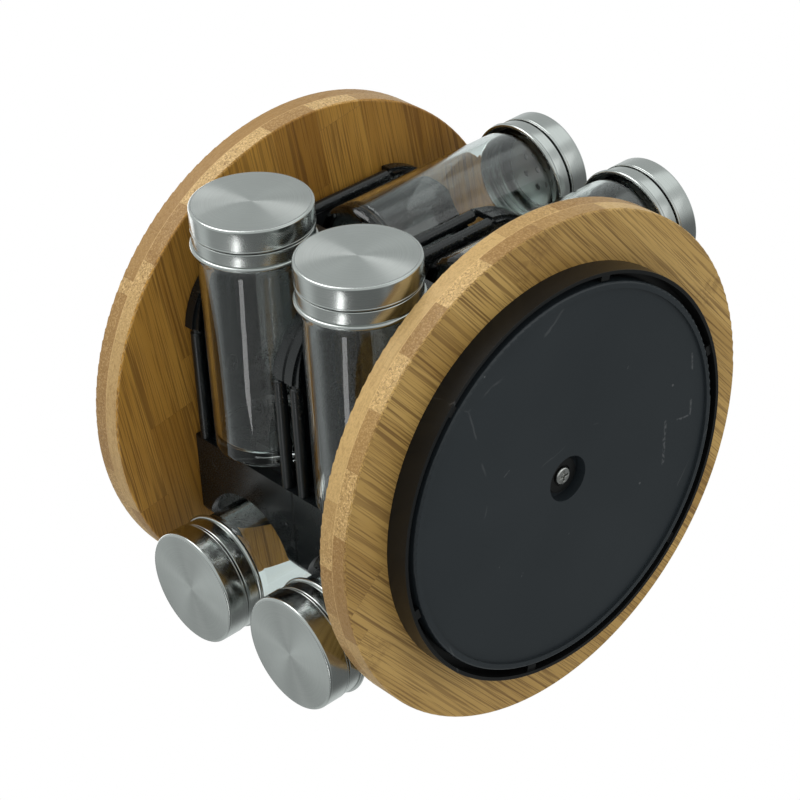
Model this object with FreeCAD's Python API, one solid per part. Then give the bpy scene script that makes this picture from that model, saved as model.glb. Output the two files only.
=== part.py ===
"""Revolving spice carousel: two bamboo discs, two moulded tier frames, eight jars
and a ball-bearing turntable base.

Units are millimetres. +Z is up along the axis that the carousel turns about, and the
origin is the centre of the base plate's foot, which rests on the table.
The eight jars lie level in two tiers of four. In each tier they form a pinwheel: the
first jar points along +X beside the centre, and each next one is turned a quarter round Z.
"""
import FreeCAD
import Part
import math
import os

Vector = FreeCAD.Vector

# ---- clearances -----------------------------------------------------------------------
RUNNING_FIT = 0.06          # radial, pivot screw in the base plate and its washer
SCREW_PLAY = 0.10           # radial, screw shank in a clearance hole
BALL_PLAY = 0.05            # between a ball and either race
CAGE_PLAY = 0.20            # between a ball and its pocket in the cage
JAR_REST_GAP = 0.25         # under a jar, above the round hole that it lies in
RAIL_GAP = 0.25             # between a jar and the lower rail beside it
HOLE_PLAY = 2.8             # radial, jar in its round hole
COLLAR_GAP = 0.7            # radial, sifter's skirt round the glass
THREAD_GAP = 0.4            # radial, sifter's neck round the glass thread
LID_GAP = 0.8               # radial, lid round the sifter's neck
LINER_GAP = 0.4             # radial, liner inside the lid
SEAL_GAP = 0.10             # between the lid's liner and the sifter
PLATE_GAP = 2.8             # radial, base plate inside the turntable ring
TAB_GAP = 0.5               # radial, base plate inside the ring's small tabs
THRUST_GAP = 0.20           # base plate's cup under the turntable ring's web

# ---- bamboo discs ---------------------------------------------------------------------
DISC_RADIUS = 95.0
DISC_THICKNESS = 13.0
DISC_EDGE_ROUND = 0.8

# ---- turntable ring and base plate ----------------------------------------------------
PLATE_STANDOFF = 0.3        # how far the base plate reaches below the ring
PLATE_THICKNESS = 2.2
PLATE_FOOT_HEIGHT = 1.0     # low foot that runs round the plate's edge
PLATE_FOOT_WIDTH = 2.4
PLATE_EDGE_ROUND = 0.9
PLATE_LIP_HEIGHT = 2.0      # turned-up stiffening lip at the plate's edge
PLATE_LIP_WIDTH = 1.6
RING_TOP_RADIUS = 76.7      # outside, where it meets the disc
RING_TAPER = 0.2            # how much narrower it is at its lower edge
RING_WALL = 1.3
RING_WEB = 2.2
RING_TAB_COUNT = 6
RING_TAB_WIDTH = 4.0
RING_TAB_HEIGHT = 1.6
RING_TAB_RISE = 0.8         # from the ring's lower edge up to a tab
RING_TAB_START = 15.0       # degrees, first tab from +X
CUP_RADIUS = 8.6            # round recess in the middle of the base plate
CUP_WALL = 1.6
CUP_FLOOR = 1.2

# ---- bearing --------------------------------------------------------------------------
BEARING_INSET = 15.0        # from the ring's screws in to the middle of the ball track
BALL_RADIUS = 2.4
BALL_COUNT = 18
RACE_DEPTH = 0.6            # how deep a ball sits in the plate and in the ring
CAGE_THICKNESS = 1.2
CAGE_WIDTH = 8.0

# ---- fasteners ------------------------------------------------------------------------
PIVOT_SHANK_RADIUS = 2.0
PIVOT_HEAD_RADIUS = 3.3
PIVOT_HEAD_HEIGHT = 1.7
PIVOT_BITE = 9.0            # length in the bottom disc
PIVOT_WASHER_RADIUS = 6.7
PIVOT_WASHER_THICKNESS = 1.5
PIVOT_WASHER_SINK = 0.7     # counterbore for the screw's head
PIVOT_SINK_PLAY = 0.6
DRIVE_REACH = 0.62          # share of a head's radius that its cross recess takes
DRIVE_WIDTH = 0.9
DRIVE_DEPTH = 1.1
RING_SCREW_INSET = 12.4     # from the base plate's edge in to the ring's screws
RING_SCREW_COUNT = 4
RING_SCREW_RADIUS = 1.5
RING_SCREW_HEAD_RADIUS = 3.0
RING_SCREW_HEAD_HEIGHT = 1.6
RING_SCREW_BITE = 8.0
TIE_INSET = 9.3             # from the core's sides in to the screws, a square pattern
TIE_SCREW_RADIUS = 2.0
TIE_HEAD_RADIUS = 4.0
TIE_HEAD_HEIGHT = 2.4
TIE_BITE = 14.0             # length in the upper frame
TOP_SCREW_LEAD = 14.0       # X of the first bay's screw, which holds it to the top disc
TOP_SCREW_SIDE = 3.1        # from above the jar's axis in towards the core
TOP_SCREW_RADIUS = 1.75
TOP_SCREW_HEAD_RADIUS = 3.4
TOP_SCREW_HEAD_HEIGHT = 2.0
TOP_SCREW_BITE = 9.0
BOSS_WALL = 2.4

# ---- tier frames: a square core with four bays round it ----------------------------------
TIER_HEIGHT = 54.0
FRAME_HALF_WIDTH = 61.6     # centre to each flat side
FRAME_CORNER_BULGE = 13.2   # how far the corners' circle reaches past the flat sides
FRAME_END_ROUND = 30.0      # where a corner runs into the open side of a jar's bay
FRAME_HOLE_ROUND = 3.0      # where a corner runs into the side with the round hole
FRAME_WALL = 2.5
HOLE_MARGIN = 4.2           # frame above and below each round hole
FRAME_PLATE = 2.0           # flat plate along the top of each tier
FRAME_PLATE_SETBACK = 4.8   # from the open side of a bay in to the plate's edge
FRAME_SEAM_CHAMFER = 0.6
END_WALL_SETBACK = 5.6      # from the first jar's foot back to the wall behind it
WINDOW_END = 35.0           # X where the open side of the first jar ends
RAIL_RADIUS = 2.2
RAIL_NECK_RADIUS = 1.4
RAIL_NECK_LENGTH = 1.3
BAND_HEIGHT = 4.5           # raised band along the top and bottom of each corner
BAND_RELIEF = 1.0           # how far the corner's wall stands back from its bands
STOP_WIDTH = 14.0           # pad on the end wall that the jar's foot stops against
CRADLE_RIB_X = 2.0
CRADLE_RIB_WIDTH = 2.4
CRADLE_RIB_HEIGHT = 9.0

# ---- jars, measured along their own axis from the carousel's centre plane ----------------
JAR_INSET = 12.0            # jar's axis in from the frame's flat side
JAR_SETBACK = 5.4           # how far its foot reaches back past the centre plane
JAR_BODY_LENGTH = 79.0
JAR_SHOULDER = 2.4
JAR_NECK_LENGTH = 12.2
JAR_WALL = 1.9
JAR_BASE = 5.5
JAR_FOOT_ROUND = 3.0
JAR_INSIDE_ROUND = 2.5
JAR_PUNT = 0.8              # depth of the hollow under the jar
NECK_STEP = 1.4             # how much narrower the neck is than the body
THREAD_HEIGHT = 0.6
THREAD_WIDTH = 1.2
THREAD_PITCH = 3.4
THREAD_TURNS = 2
STEEL = 0.6                 # sheet thickness of sifter and lid
COLLAR_STANDOFF = 2.0       # from the end of the jar's body to the sifter's bead
COLLAR_LENGTH = 6.8
COLLAR_ROUND = 0.5
BEAD_RADIUS = 0.9
BEAD_REACH = 0.9            # how far the bead stands out from the sifter's skirt
SIFTER_RECESS_GAP = 1.6     # radial, recess of the sifter's top inside the jar's mouth
SIFTER_RECESS_DEPTH = 2.4
SIFTER_HOLE_RADIUS = 1.2
SIFTER_HOLE_CIRCLE = 7.0
SIFTER_HOLE_COUNT = 6
LID_STANDOFF = 0.5          # between the sifter's skirt and the lid
LID_EDGE_ROUND = 1.0
LINER_THICKNESS = 1.9

SIDES = ("right", "back", "left", "front")      # the way each jar's lid points
TIERS = ("lower", "upper")

# ---- worked out from the sizes above ---------------------------------------------------
RING_BOTTOM = PLATE_STANDOFF
RING_FREE_RADIUS = RING_TOP_RADIUS - RING_TAPER
PLATE_TOP = PLATE_FOOT_HEIGHT + PLATE_THICKNESS
WEB_BOTTOM = PLATE_TOP + 2.0 * (BALL_RADIUS - RACE_DEPTH)
BOTTOM_DISC_BASE = WEB_BOTTOM + RING_WEB
RING_HEIGHT = BOTTOM_DISC_BASE - RING_BOTTOM
LOWER_TIER_BASE = BOTTOM_DISC_BASE + DISC_THICKNESS
UPPER_TIER_BASE = LOWER_TIER_BASE + TIER_HEIGHT
TOP_DISC_BASE = UPPER_TIER_BASE + TIER_HEIGHT
TIER_BASE = {"lower": LOWER_TIER_BASE, "upper": UPPER_TIER_BASE}
HOLE_HEIGHT = TIER_HEIGHT / 2.0
HOLE_RADIUS = HOLE_HEIGHT - HOLE_MARGIN
JAR_RADIUS = HOLE_RADIUS - HOLE_PLAY
JAR_OFFSET = FRAME_HALF_WIDTH - JAR_INSET
JAR_AXIS_HEIGHT = HOLE_HEIGHT - HOLE_RADIUS + JAR_RADIUS + JAR_REST_GAP
INNER_WALL_FACE = JAR_OFFSET - HOLE_RADIUS
CORE_HALF_WIDTH = INNER_WALL_FACE - FRAME_WALL
TIE_REACH = CORE_HALF_WIDTH - TIE_INSET
TOP_SCREW_OFFSET = JAR_OFFSET - TOP_SCREW_SIDE
FRAME_CORNER_RADIUS = FRAME_HALF_WIDTH + FRAME_CORNER_BULGE
RAIL_OFFSET = FRAME_HALF_WIDTH - RAIL_RADIUS
RAIL_DROP = math.sqrt((JAR_RADIUS + RAIL_RADIUS + RAIL_GAP) ** 2 - (RAIL_OFFSET - JAR_OFFSET) ** 2)
RAIL_INSET = JAR_AXIS_HEIGHT - RAIL_DROP
PLATE_RADIUS = RING_FREE_RADIUS - RING_WALL - PLATE_GAP
RING_SCREW_CIRCLE = PLATE_RADIUS - RING_SCREW_INSET
BEARING_RADIUS = RING_SCREW_CIRCLE - BEARING_INSET
CUP_TOP = WEB_BOTTOM - THRUST_GAP
CUP_CEILING = CUP_TOP - CUP_FLOOR
BALL_HEIGHT = (PLATE_TOP + WEB_BOTTOM) / 2.0
JAR_BOTTOM = -JAR_SETBACK
END_WALL_FACE = JAR_BOTTOM - END_WALL_SETBACK
NECK_RADIUS = JAR_RADIUS - NECK_STEP
JAR_BODY_END = JAR_BOTTOM + JAR_BODY_LENGTH
JAR_MOUTH = JAR_BODY_END + JAR_SHOULDER + JAR_NECK_LENGTH
COLLAR_START = JAR_BODY_END + COLLAR_STANDOFF
COLLAR_END = COLLAR_START + COLLAR_LENGTH
COLLAR_RADIUS = JAR_RADIUS + COLLAR_GAP + STEEL
SIFTER_NECK_RADIUS = NECK_RADIUS + THREAD_HEIGHT + THREAD_GAP + STEEL
SIFTER_TOP = JAR_MOUTH + STEEL
SIFTER_RECESS_RADIUS = NECK_RADIUS - JAR_WALL - STEEL - SIFTER_RECESS_GAP
LID_START = COLLAR_END + LID_STANDOFF
LID_END = SIFTER_TOP + SEAL_GAP + LINER_THICKNESS + STEEL
LID_RADIUS = SIFTER_NECK_RADIUS + LID_GAP + STEEL
TIE_POINTS = [(sx * TIE_REACH, sy * TIE_REACH) for sx in (-1, 1) for sy in (-1, 1)]


# ---- shared shapes --------------------------------------------------------------------
def cylinder(radius, bottom, top, x=0.0, y=0.0):
    """Upright cylinder between two heights."""
    return Part.makeCylinder(radius, top - bottom, Vector(x, y, bottom))


def box(x0, x1, y0, y1, z0, z1):
    """Box between two corners."""
    return Part.makeBox(x1 - x0, y1 - y0, z1 - z0, Vector(x0, y0, z0))


def revolved(points):
    """Solid of revolution about Z from a closed outline of (radius, height) points."""
    corners = [Vector(radius, 0.0, height) for radius, height in points]
    outline = Part.makePolygon(corners + [corners[0]])
    return Part.Face(outline).revolve(Vector(0, 0, 0), Vector(0, 0, 1), 360.0)


def united(shapes):
    """One solid from several that touch or overlap."""
    joined = shapes[0].fuse(shapes[1:])
    return joined.removeSplitter()


def circular_edges(shape, radius, height):
    """Full or part circles of one radius at one height."""
    found = []
    for edge in shape.Edges:
        curve = edge.Curve
        if isinstance(curve, Part.Circle) and abs(curve.Radius - radius) < 1e-4:
            if abs(edge.BoundBox.ZMin - height) < 1e-4 and abs(edge.BoundBox.ZMax - height) < 1e-4:
                found.append(edge)
    return found


def quarter_turned(shape, quarters):
    """Copy of a shape turned by quarter turns about Z."""
    turned = shape.copy()
    turned.rotate(Vector(0, 0, 0), Vector(0, 0, 1), 90.0 * quarters)
    return turned


def around(shape, count, start=0.0):
    """Copies of a shape spaced evenly about Z."""
    copies = []
    for index in range(count):
        turned = shape.copy()
        turned.rotate(Vector(0, 0, 0), Vector(0, 0, 1), start + 360.0 * index / count)
        copies.append(turned)
    return copies


def cross_recess(head_radius, face_height, upwards):
    """Cross-shaped driver recess that enters a screw's head from its face."""
    reach = head_radius * DRIVE_REACH
    low = face_height if upwards else face_height - DRIVE_DEPTH
    high = low + DRIVE_DEPTH
    half = DRIVE_WIDTH / 2.0
    arm = box(-reach, reach, -half, half, low, high)
    return arm.fuse(quarter_turned(arm, 1))


def pan_screw(shank_radius, head_radius, head_height, head_top, tip):
    """Screw that points up: a domed head below head_top and a shank up to its tip."""
    head = cylinder(head_radius, head_top - head_height, head_top)
    rim = circular_edges(head, head_radius, head_top - head_height)
    head = head.makeFillet(min(head_height, head_radius) * 0.45, rim)
    point = shank_radius * 1.2
    shank = cylinder(shank_radius, head_top, tip - point)
    cone = Part.makeCone(shank_radius, shank_radius * 0.25, point, Vector(0, 0, tip - point))
    screw = united([head, shank, cone])
    return screw.cut(cross_recess(head_radius, head_top - head_height, True))


# ---- turntable base -------------------------------------------------------------------
def race(height):
    """Round groove, cut by a ring as thick as a ball and its play."""
    return Part.makeTorus(BEARING_RADIUS, BALL_RADIUS + BALL_PLAY, Vector(0, 0, height))


def base_plate():
    """Plate that rests on a low foot round its edge, with a recess for the pivot in its middle."""
    plate = cylinder(PLATE_RADIUS, 0.0, PLATE_TOP + PLATE_LIP_HEIGHT)
    plate = plate.cut(cylinder(PLATE_RADIUS - PLATE_FOOT_WIDTH, 0.0, PLATE_FOOT_HEIGHT))
    plate = plate.cut(cylinder(PLATE_RADIUS - PLATE_LIP_WIDTH, PLATE_TOP, CUP_TOP))
    plate = plate.fuse(cylinder(CUP_RADIUS + CUP_WALL, PLATE_FOOT_HEIGHT, CUP_TOP))
    plate = plate.cut(cylinder(CUP_RADIUS, PLATE_FOOT_HEIGHT, CUP_CEILING))
    plate = plate.cut(cylinder(PIVOT_SHANK_RADIUS + RUNNING_FIT, PLATE_FOOT_HEIGHT, CUP_TOP))
    plate = plate.cut(race(BALL_HEIGHT))
    plate = plate.removeSplitter()
    return plate.makeFillet(PLATE_EDGE_ROUND, circular_edges(plate, PLATE_RADIUS, 0.0))


def turntable_ring():
    """Pan screwed under the bottom disc: web, tapered outer wall and small inner tabs."""
    inner_top = RING_TOP_RADIUS - RING_WALL
    inner_free = RING_FREE_RADIUS - RING_WALL
    slope = (inner_top - inner_free) / RING_HEIGHT
    inner_at_web = inner_free + slope * (WEB_BOTTOM - RING_BOTTOM)
    pan = revolved([
        (0.0, WEB_BOTTOM),
        (inner_at_web, WEB_BOTTOM),
        (inner_free, RING_BOTTOM),
        (RING_FREE_RADIUS, RING_BOTTOM),
        (RING_TOP_RADIUS, BOTTOM_DISC_BASE),
        (0.0, BOTTOM_DISC_BASE),
    ])
    tab_base = RING_BOTTOM + RING_TAB_RISE
    tab_root = inner_free + slope * (RING_TAB_RISE + RING_TAB_HEIGHT) + RING_WALL / 2.0
    tab = box(PLATE_RADIUS + TAB_GAP, tab_root, -RING_TAB_WIDTH / 2.0, RING_TAB_WIDTH / 2.0,
              tab_base, tab_base + RING_TAB_HEIGHT)
    pan = united([pan] + around(tab, RING_TAB_COUNT, RING_TAB_START))
    pan = pan.cut(cylinder(PIVOT_SHANK_RADIUS + SCREW_PLAY, WEB_BOTTOM, BOTTOM_DISC_BASE))
    screw_hole = cylinder(RING_SCREW_RADIUS + SCREW_PLAY, WEB_BOTTOM, BOTTOM_DISC_BASE, RING_SCREW_CIRCLE)
    for hole in around(screw_hole, RING_SCREW_COUNT):
        pan = pan.cut(hole)
    return pan.cut(race(BALL_HEIGHT))


def bearing_cage():
    """Flat ring that keeps the balls evenly spaced."""
    low = BALL_HEIGHT - CAGE_THICKNESS / 2.0
    high = BALL_HEIGHT + CAGE_THICKNESS / 2.0
    ring = cylinder(BEARING_RADIUS + CAGE_WIDTH / 2.0, low, high)
    ring = ring.cut(cylinder(BEARING_RADIUS - CAGE_WIDTH / 2.0, low, high))
    pocket = cylinder(BALL_RADIUS + CAGE_PLAY, low, high, BEARING_RADIUS)
    for hole in around(pocket, BALL_COUNT):
        ring = ring.cut(hole)
    return ring


def bearing_balls():
    """The ring of loose steel balls."""
    ball = Part.makeSphere(BALL_RADIUS, Vector(BEARING_RADIUS, 0, BALL_HEIGHT))
    return Part.makeCompound(around(ball, BALL_COUNT))


def pivot_washer():
    """Thick washer in the base plate's recess, sunk for the pivot screw's head."""
    low = CUP_CEILING - PIVOT_WASHER_THICKNESS
    washer = cylinder(PIVOT_WASHER_RADIUS, low, CUP_CEILING)
    washer = washer.cut(cylinder(PIVOT_SHANK_RADIUS + RUNNING_FIT, low, CUP_CEILING))
    return washer.cut(cylinder(PIVOT_HEAD_RADIUS + PIVOT_SINK_PLAY, low, low + PIVOT_WASHER_SINK))


def pivot_screw():
    """Screw in the middle that holds the base plate on and that the carousel turns with."""
    seat = CUP_CEILING - PIVOT_WASHER_THICKNESS + PIVOT_WASHER_SINK
    tip = BOTTOM_DISC_BASE + PIVOT_BITE
    return pan_screw(PIVOT_SHANK_RADIUS, PIVOT_HEAD_RADIUS, PIVOT_HEAD_HEIGHT, seat, tip)


def ring_screws():
    """Screws that hold the turntable ring to the bottom disc."""
    tip = BOTTOM_DISC_BASE + RING_SCREW_BITE
    screw = pan_screw(RING_SCREW_RADIUS, RING_SCREW_HEAD_RADIUS, RING_SCREW_HEAD_HEIGHT, WEB_BOTTOM, tip)
    screw.translate(Vector(RING_SCREW_CIRCLE, 0, 0))
    return Part.makeCompound(around(screw, RING_SCREW_COUNT))


# ---- discs ----------------------------------------------------------------------------
def plain_disc(bottom):
    """Bamboo disc with slightly eased edges."""
    disc = cylinder(DISC_RADIUS, bottom, bottom + DISC_THICKNESS)
    edges = circular_edges(disc, DISC_RADIUS, bottom)
    edges += circular_edges(disc, DISC_RADIUS, bottom + DISC_THICKNESS)
    return disc.makeFillet(DISC_EDGE_ROUND, edges)


def tie_head_cone(play):
    """Countersink for a tie screw's head, or the head itself with no play."""
    return Part.makeCone(TIE_HEAD_RADIUS + play, TIE_SCREW_RADIUS + play, TIE_HEAD_HEIGHT,
                         Vector(0, 0, BOTTOM_DISC_BASE))


def bottom_disc():
    """Lower disc, drilled for the pivot, the turntable ring and the tie screws."""
    base = BOTTOM_DISC_BASE
    disc = plain_disc(base)
    disc = disc.cut(cylinder(PIVOT_SHANK_RADIUS, base, base + PIVOT_BITE))
    pilot = cylinder(RING_SCREW_RADIUS, base, base + RING_SCREW_BITE, RING_SCREW_CIRCLE)
    for hole in around(pilot, RING_SCREW_COUNT):
        disc = disc.cut(hole)
    sink = tie_head_cone(SCREW_PLAY)
    sink = sink.fuse(cylinder(TIE_SCREW_RADIUS + SCREW_PLAY, base, base + DISC_THICKNESS))
    for x, y in TIE_POINTS:
        hole = sink.copy()
        hole.translate(Vector(x, y, 0))
        disc = disc.cut(hole)
    return disc


def top_screw_hole(radius, bottom, top):
    """Hole for the screw of the first bay."""
    return cylinder(radius, bottom, top, TOP_SCREW_LEAD, -TOP_SCREW_OFFSET)


def top_disc():
    """Upper disc, with blind holes in its underside for the screws that hold it."""
    disc = plain_disc(TOP_DISC_BASE)
    hole = top_screw_hole(TOP_SCREW_RADIUS, TOP_DISC_BASE, TOP_DISC_BASE + TOP_SCREW_BITE)
    for quarter in range(4):
        disc = disc.cut(quarter_turned(hole, quarter))
    return disc


# ---- tier frames, drawn on the floor of their own tier ----------------------------------
def upright_edges(shape, points):
    """Upright edges of a shape that stand at the given points."""
    found = []
    for edge in shape.Edges:
        middle = edge.BoundBox.Center
        for x, y in points:
            if edge.BoundBox.ZLength > 1.0 and math.hypot(middle.x - x, middle.y - y) < 1e-4:
                found.append(edge)
    return found


def frame_block(inset, low=0.0, high=TIER_HEIGHT):
    """Upright block of the frame's outline, drawn in from all its sides by an inset.

    Each corner lies on a circle about the axis. It runs softly into the open side of the
    bay before it, and more sharply into the side with the next jar's round hole.
    """
    half = FRAME_HALF_WIDTH - inset
    radius = FRAME_CORNER_RADIUS - inset
    block = box(-half, half, -half, half, low, high).common(cylinder(radius, low, high))
    reach = math.sqrt(radius ** 2 - half ** 2)
    soft = [(reach, -half), (half, reach), (-reach, half), (-half, -reach)]
    sharp = [(half, -reach), (reach, half), (-half, reach), (-reach, -half)]
    block = block.makeFillet(FRAME_END_ROUND - inset, upright_edges(block, soft))
    return block.makeFillet(FRAME_HOLE_ROUND, upright_edges(block, sharp))


def frame_envelope():
    """The frame's outline with a small bevel along its top and bottom edges."""
    block = frame_block(0.0)
    rims = []
    for edge in block.Edges:
        if edge.BoundBox.ZLength < 1e-6:
            rims.append(edge)
    return block.makeChamfer(FRAME_SEAM_CHAMFER, rims)


def jar_bore(radius, start, end):
    """Cylinder about the first jar's hole, along X."""
    return Part.makeCylinder(radius, end - start, Vector(start, -JAR_OFFSET, HOLE_HEIGHT), Vector(1, 0, 0))


def corner_relief():
    """What is cut from a corner's outside so that its top and bottom bands stand proud."""
    half = FRAME_HALF_WIDTH
    block = box(WINDOW_END, half, -half, -JAR_OFFSET, BAND_HEIGHT, TIER_HEIGHT - BAND_HEIGHT)
    return block.cut(frame_block(BAND_RELIEF))


def jar_supports():
    """Pad that the first jar's foot stops against, and the rib that it lies on."""
    pad = box(END_WALL_FACE, JAR_BOTTOM, -JAR_OFFSET - STOP_WIDTH / 2.0, -JAR_OFFSET + STOP_WIDTH / 2.0,
              0.0, JAR_AXIS_HEIGHT)
    behind_rail = 2.0 * RAIL_RADIUS + FRAME_WALL - FRAME_HALF_WIDTH
    rib = box(CRADLE_RIB_X, CRADLE_RIB_X + CRADLE_RIB_WIDTH, behind_rail, -INNER_WALL_FACE,
              0.0, CRADLE_RIB_HEIGHT)
    bed = Part.makeCylinder(JAR_RADIUS + JAR_REST_GAP, CRADLE_RIB_WIDTH,
                            Vector(CRADLE_RIB_X, -JAR_OFFSET, JAR_AXIS_HEIGHT), Vector(1, 0, 0))
    return [pad, rib.cut(bed)]


def bay():
    """Moulded bay of the first jar: plate above it, outer wall, inner wall and end wall.

    Four of them stand round the core like the arms of a pinwheel.
    """
    reach = FRAME_CORNER_RADIUS
    half = FRAME_HALF_WIDTH
    outer = frame_block(0.0).cut(frame_block(FRAME_WALL))
    outer = outer.cut(box(END_WALL_FACE, WINDOW_END, -half, -half + 2.0 * FRAME_WALL, 0.0, TIER_HEIGHT))
    plate = frame_block(0.0, TIER_HEIGHT - FRAME_PLATE, TIER_HEIGHT)
    plate = plate.cut(box(END_WALL_FACE, WINDOW_END, -half, -half + FRAME_PLATE_SETBACK, 0.0, TIER_HEIGHT))
    inner = box(-CORE_HALF_WIDTH, half - FRAME_WALL / 2.0, -INNER_WALL_FACE, -CORE_HALF_WIDTH, 0.0, TIER_HEIGHT)
    end = box(END_WALL_FACE - FRAME_WALL, END_WALL_FACE, -half, -CORE_HALF_WIDTH, 0.0, TIER_HEIGHT)
    body = united([outer, plate, inner, end] + jar_supports())
    body = body.cut(jar_bore(HOLE_RADIUS, 0.0, reach)).cut(corner_relief())
    plan = box(-CORE_HALF_WIDTH, reach, -reach, -CORE_HALF_WIDTH, 0.0, TIER_HEIGHT)
    return body.common(plan).common(frame_envelope())


def upper_bay():
    """Bay of the upper tier, whose plate has a hole for the screw into the top disc."""
    return bay().cut(top_screw_hole(TOP_SCREW_RADIUS + SCREW_PLAY, TIER_HEIGHT - FRAME_PLATE, TIER_HEIGHT))


def rail(height):
    """Round rail along the open side of the first jar, with a domed end on a short neck."""
    y = -RAIL_OFFSET
    along = Vector(1, 0, 0)
    neck_start = WINDOW_END - RAIL_NECK_LENGTH
    rod = Part.makeCylinder(RAIL_RADIUS, neck_start - END_WALL_FACE, Vector(END_WALL_FACE, y, height), along)
    rim = []
    for edge in rod.Edges:
        if abs(edge.BoundBox.XMin - neck_start) < 1e-6:
            rim.append(edge)
    rod = rod.makeFillet(RAIL_RADIUS - RAIL_NECK_RADIUS, rim)
    neck = Part.makeCylinder(RAIL_NECK_RADIUS, WINDOW_END - neck_start, Vector(neck_start, y, height), along)
    return united([rod, neck])


def rails(tier):
    """A tier's eight rails: one near the bottom and one near the top of each bay."""
    copies = []
    for height in (RAIL_INSET, TIER_HEIGHT - RAIL_INSET):
        for quarter in range(4):
            copies.append(quarter_turned(rail(TIER_BASE[tier] + height), quarter))
    return Part.makeCompound(copies)


def core(tier, hole_radius, hole_top):
    """Square middle of a tier: a plate with posts under it, drilled from below for the tie screws."""
    half = CORE_HALF_WIDTH
    plate = box(-half, half, -half, half, TIER_HEIGHT - FRAME_PLATE, TIER_HEIGHT)
    posts = [cylinder(TIE_SCREW_RADIUS + BOSS_WALL, 0.0, TIER_HEIGHT, x, y) for x, y in TIE_POINTS]
    body = united([plate] + posts)
    for x, y in TIE_POINTS:
        body = body.cut(cylinder(hole_radius, 0.0, hole_top, x, y))
    body.translate(Vector(0, 0, TIER_BASE[tier]))
    return body


# ---- screws between discs and frames ----------------------------------------------------
def tie_screws():
    """Long countersunk screws from under the bottom disc into the upper frame."""
    tip = UPPER_TIER_BASE + TIE_BITE
    shank = cylinder(TIE_SCREW_RADIUS, BOTTOM_DISC_BASE + TIE_HEAD_HEIGHT / 2.0, tip)
    screw = united([tie_head_cone(0.0), shank])
    screw = screw.cut(cross_recess(TIE_HEAD_RADIUS, BOTTOM_DISC_BASE, True))
    copies = []
    for x, y in TIE_POINTS:
        copy = screw.copy()
        copy.translate(Vector(x, y, 0))
        copies.append(copy)
    return Part.makeCompound(copies)


def top_disc_screws():
    """Screws driven upwards through the upper tier's plate into the top disc, one in each bay."""
    seat = TOP_DISC_BASE - FRAME_PLATE
    tip = TOP_DISC_BASE + TOP_SCREW_BITE
    screw = pan_screw(TOP_SCREW_RADIUS, TOP_SCREW_HEAD_RADIUS, TOP_SCREW_HEAD_HEIGHT, seat, tip)
    screw.translate(Vector(TOP_SCREW_LEAD, -TOP_SCREW_OFFSET, 0))
    return Part.makeCompound([quarter_turned(screw, quarter) for quarter in range(4)])


# ---- jars, drawn with their axis on Z ----------------------------------------------------
def glass_jar():
    """Straight glass jar with a thick base, a shoulder and a threaded neck."""
    inner = JAR_RADIUS - JAR_WALL
    neck_inner = NECK_RADIUS - JAR_WALL
    neck_start = JAR_BODY_END + JAR_SHOULDER
    outside = revolved([
        (0.0, JAR_BOTTOM),
        (JAR_RADIUS, JAR_BOTTOM),
        (JAR_RADIUS, JAR_BODY_END),
        (NECK_RADIUS, neck_start),
        (NECK_RADIUS, JAR_MOUTH),
        (0.0, JAR_MOUTH),
    ])
    foot = circular_edges(outside, JAR_RADIUS, JAR_BOTTOM)
    outside = outside.makeFillet(JAR_FOOT_ROUND, foot)
    inside = revolved([
        (0.0, JAR_BOTTOM + JAR_BASE),
        (inner, JAR_BOTTOM + JAR_BASE),
        (inner, JAR_BODY_END),
        (neck_inner, neck_start),
        (neck_inner, JAR_MOUTH),
        (0.0, JAR_MOUTH),
    ])
    corner = circular_edges(inside, inner, JAR_BOTTOM + JAR_BASE)
    inside = inside.makeFillet(JAR_INSIDE_ROUND, corner)
    punt_radius = (JAR_RADIUS ** 2 / 4.0 + JAR_PUNT ** 2) / (2.0 * JAR_PUNT)
    punt = Part.makeSphere(punt_radius, Vector(0, 0, JAR_BOTTOM + JAR_PUNT - punt_radius))
    threads = []
    for turn in range(THREAD_TURNS):
        low = COLLAR_END - THREAD_WIDTH + turn * THREAD_PITCH - THREAD_PITCH
        threads.append(revolved([
            (NECK_RADIUS - THREAD_HEIGHT, low),
            (NECK_RADIUS, low),
            (NECK_RADIUS + THREAD_HEIGHT, low + THREAD_WIDTH / 2.0),
            (NECK_RADIUS, low + THREAD_WIDTH),
            (NECK_RADIUS - THREAD_HEIGHT, low + THREAD_WIDTH),
        ]))
    return united([outside] + threads).cut(inside).cut(punt)


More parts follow.
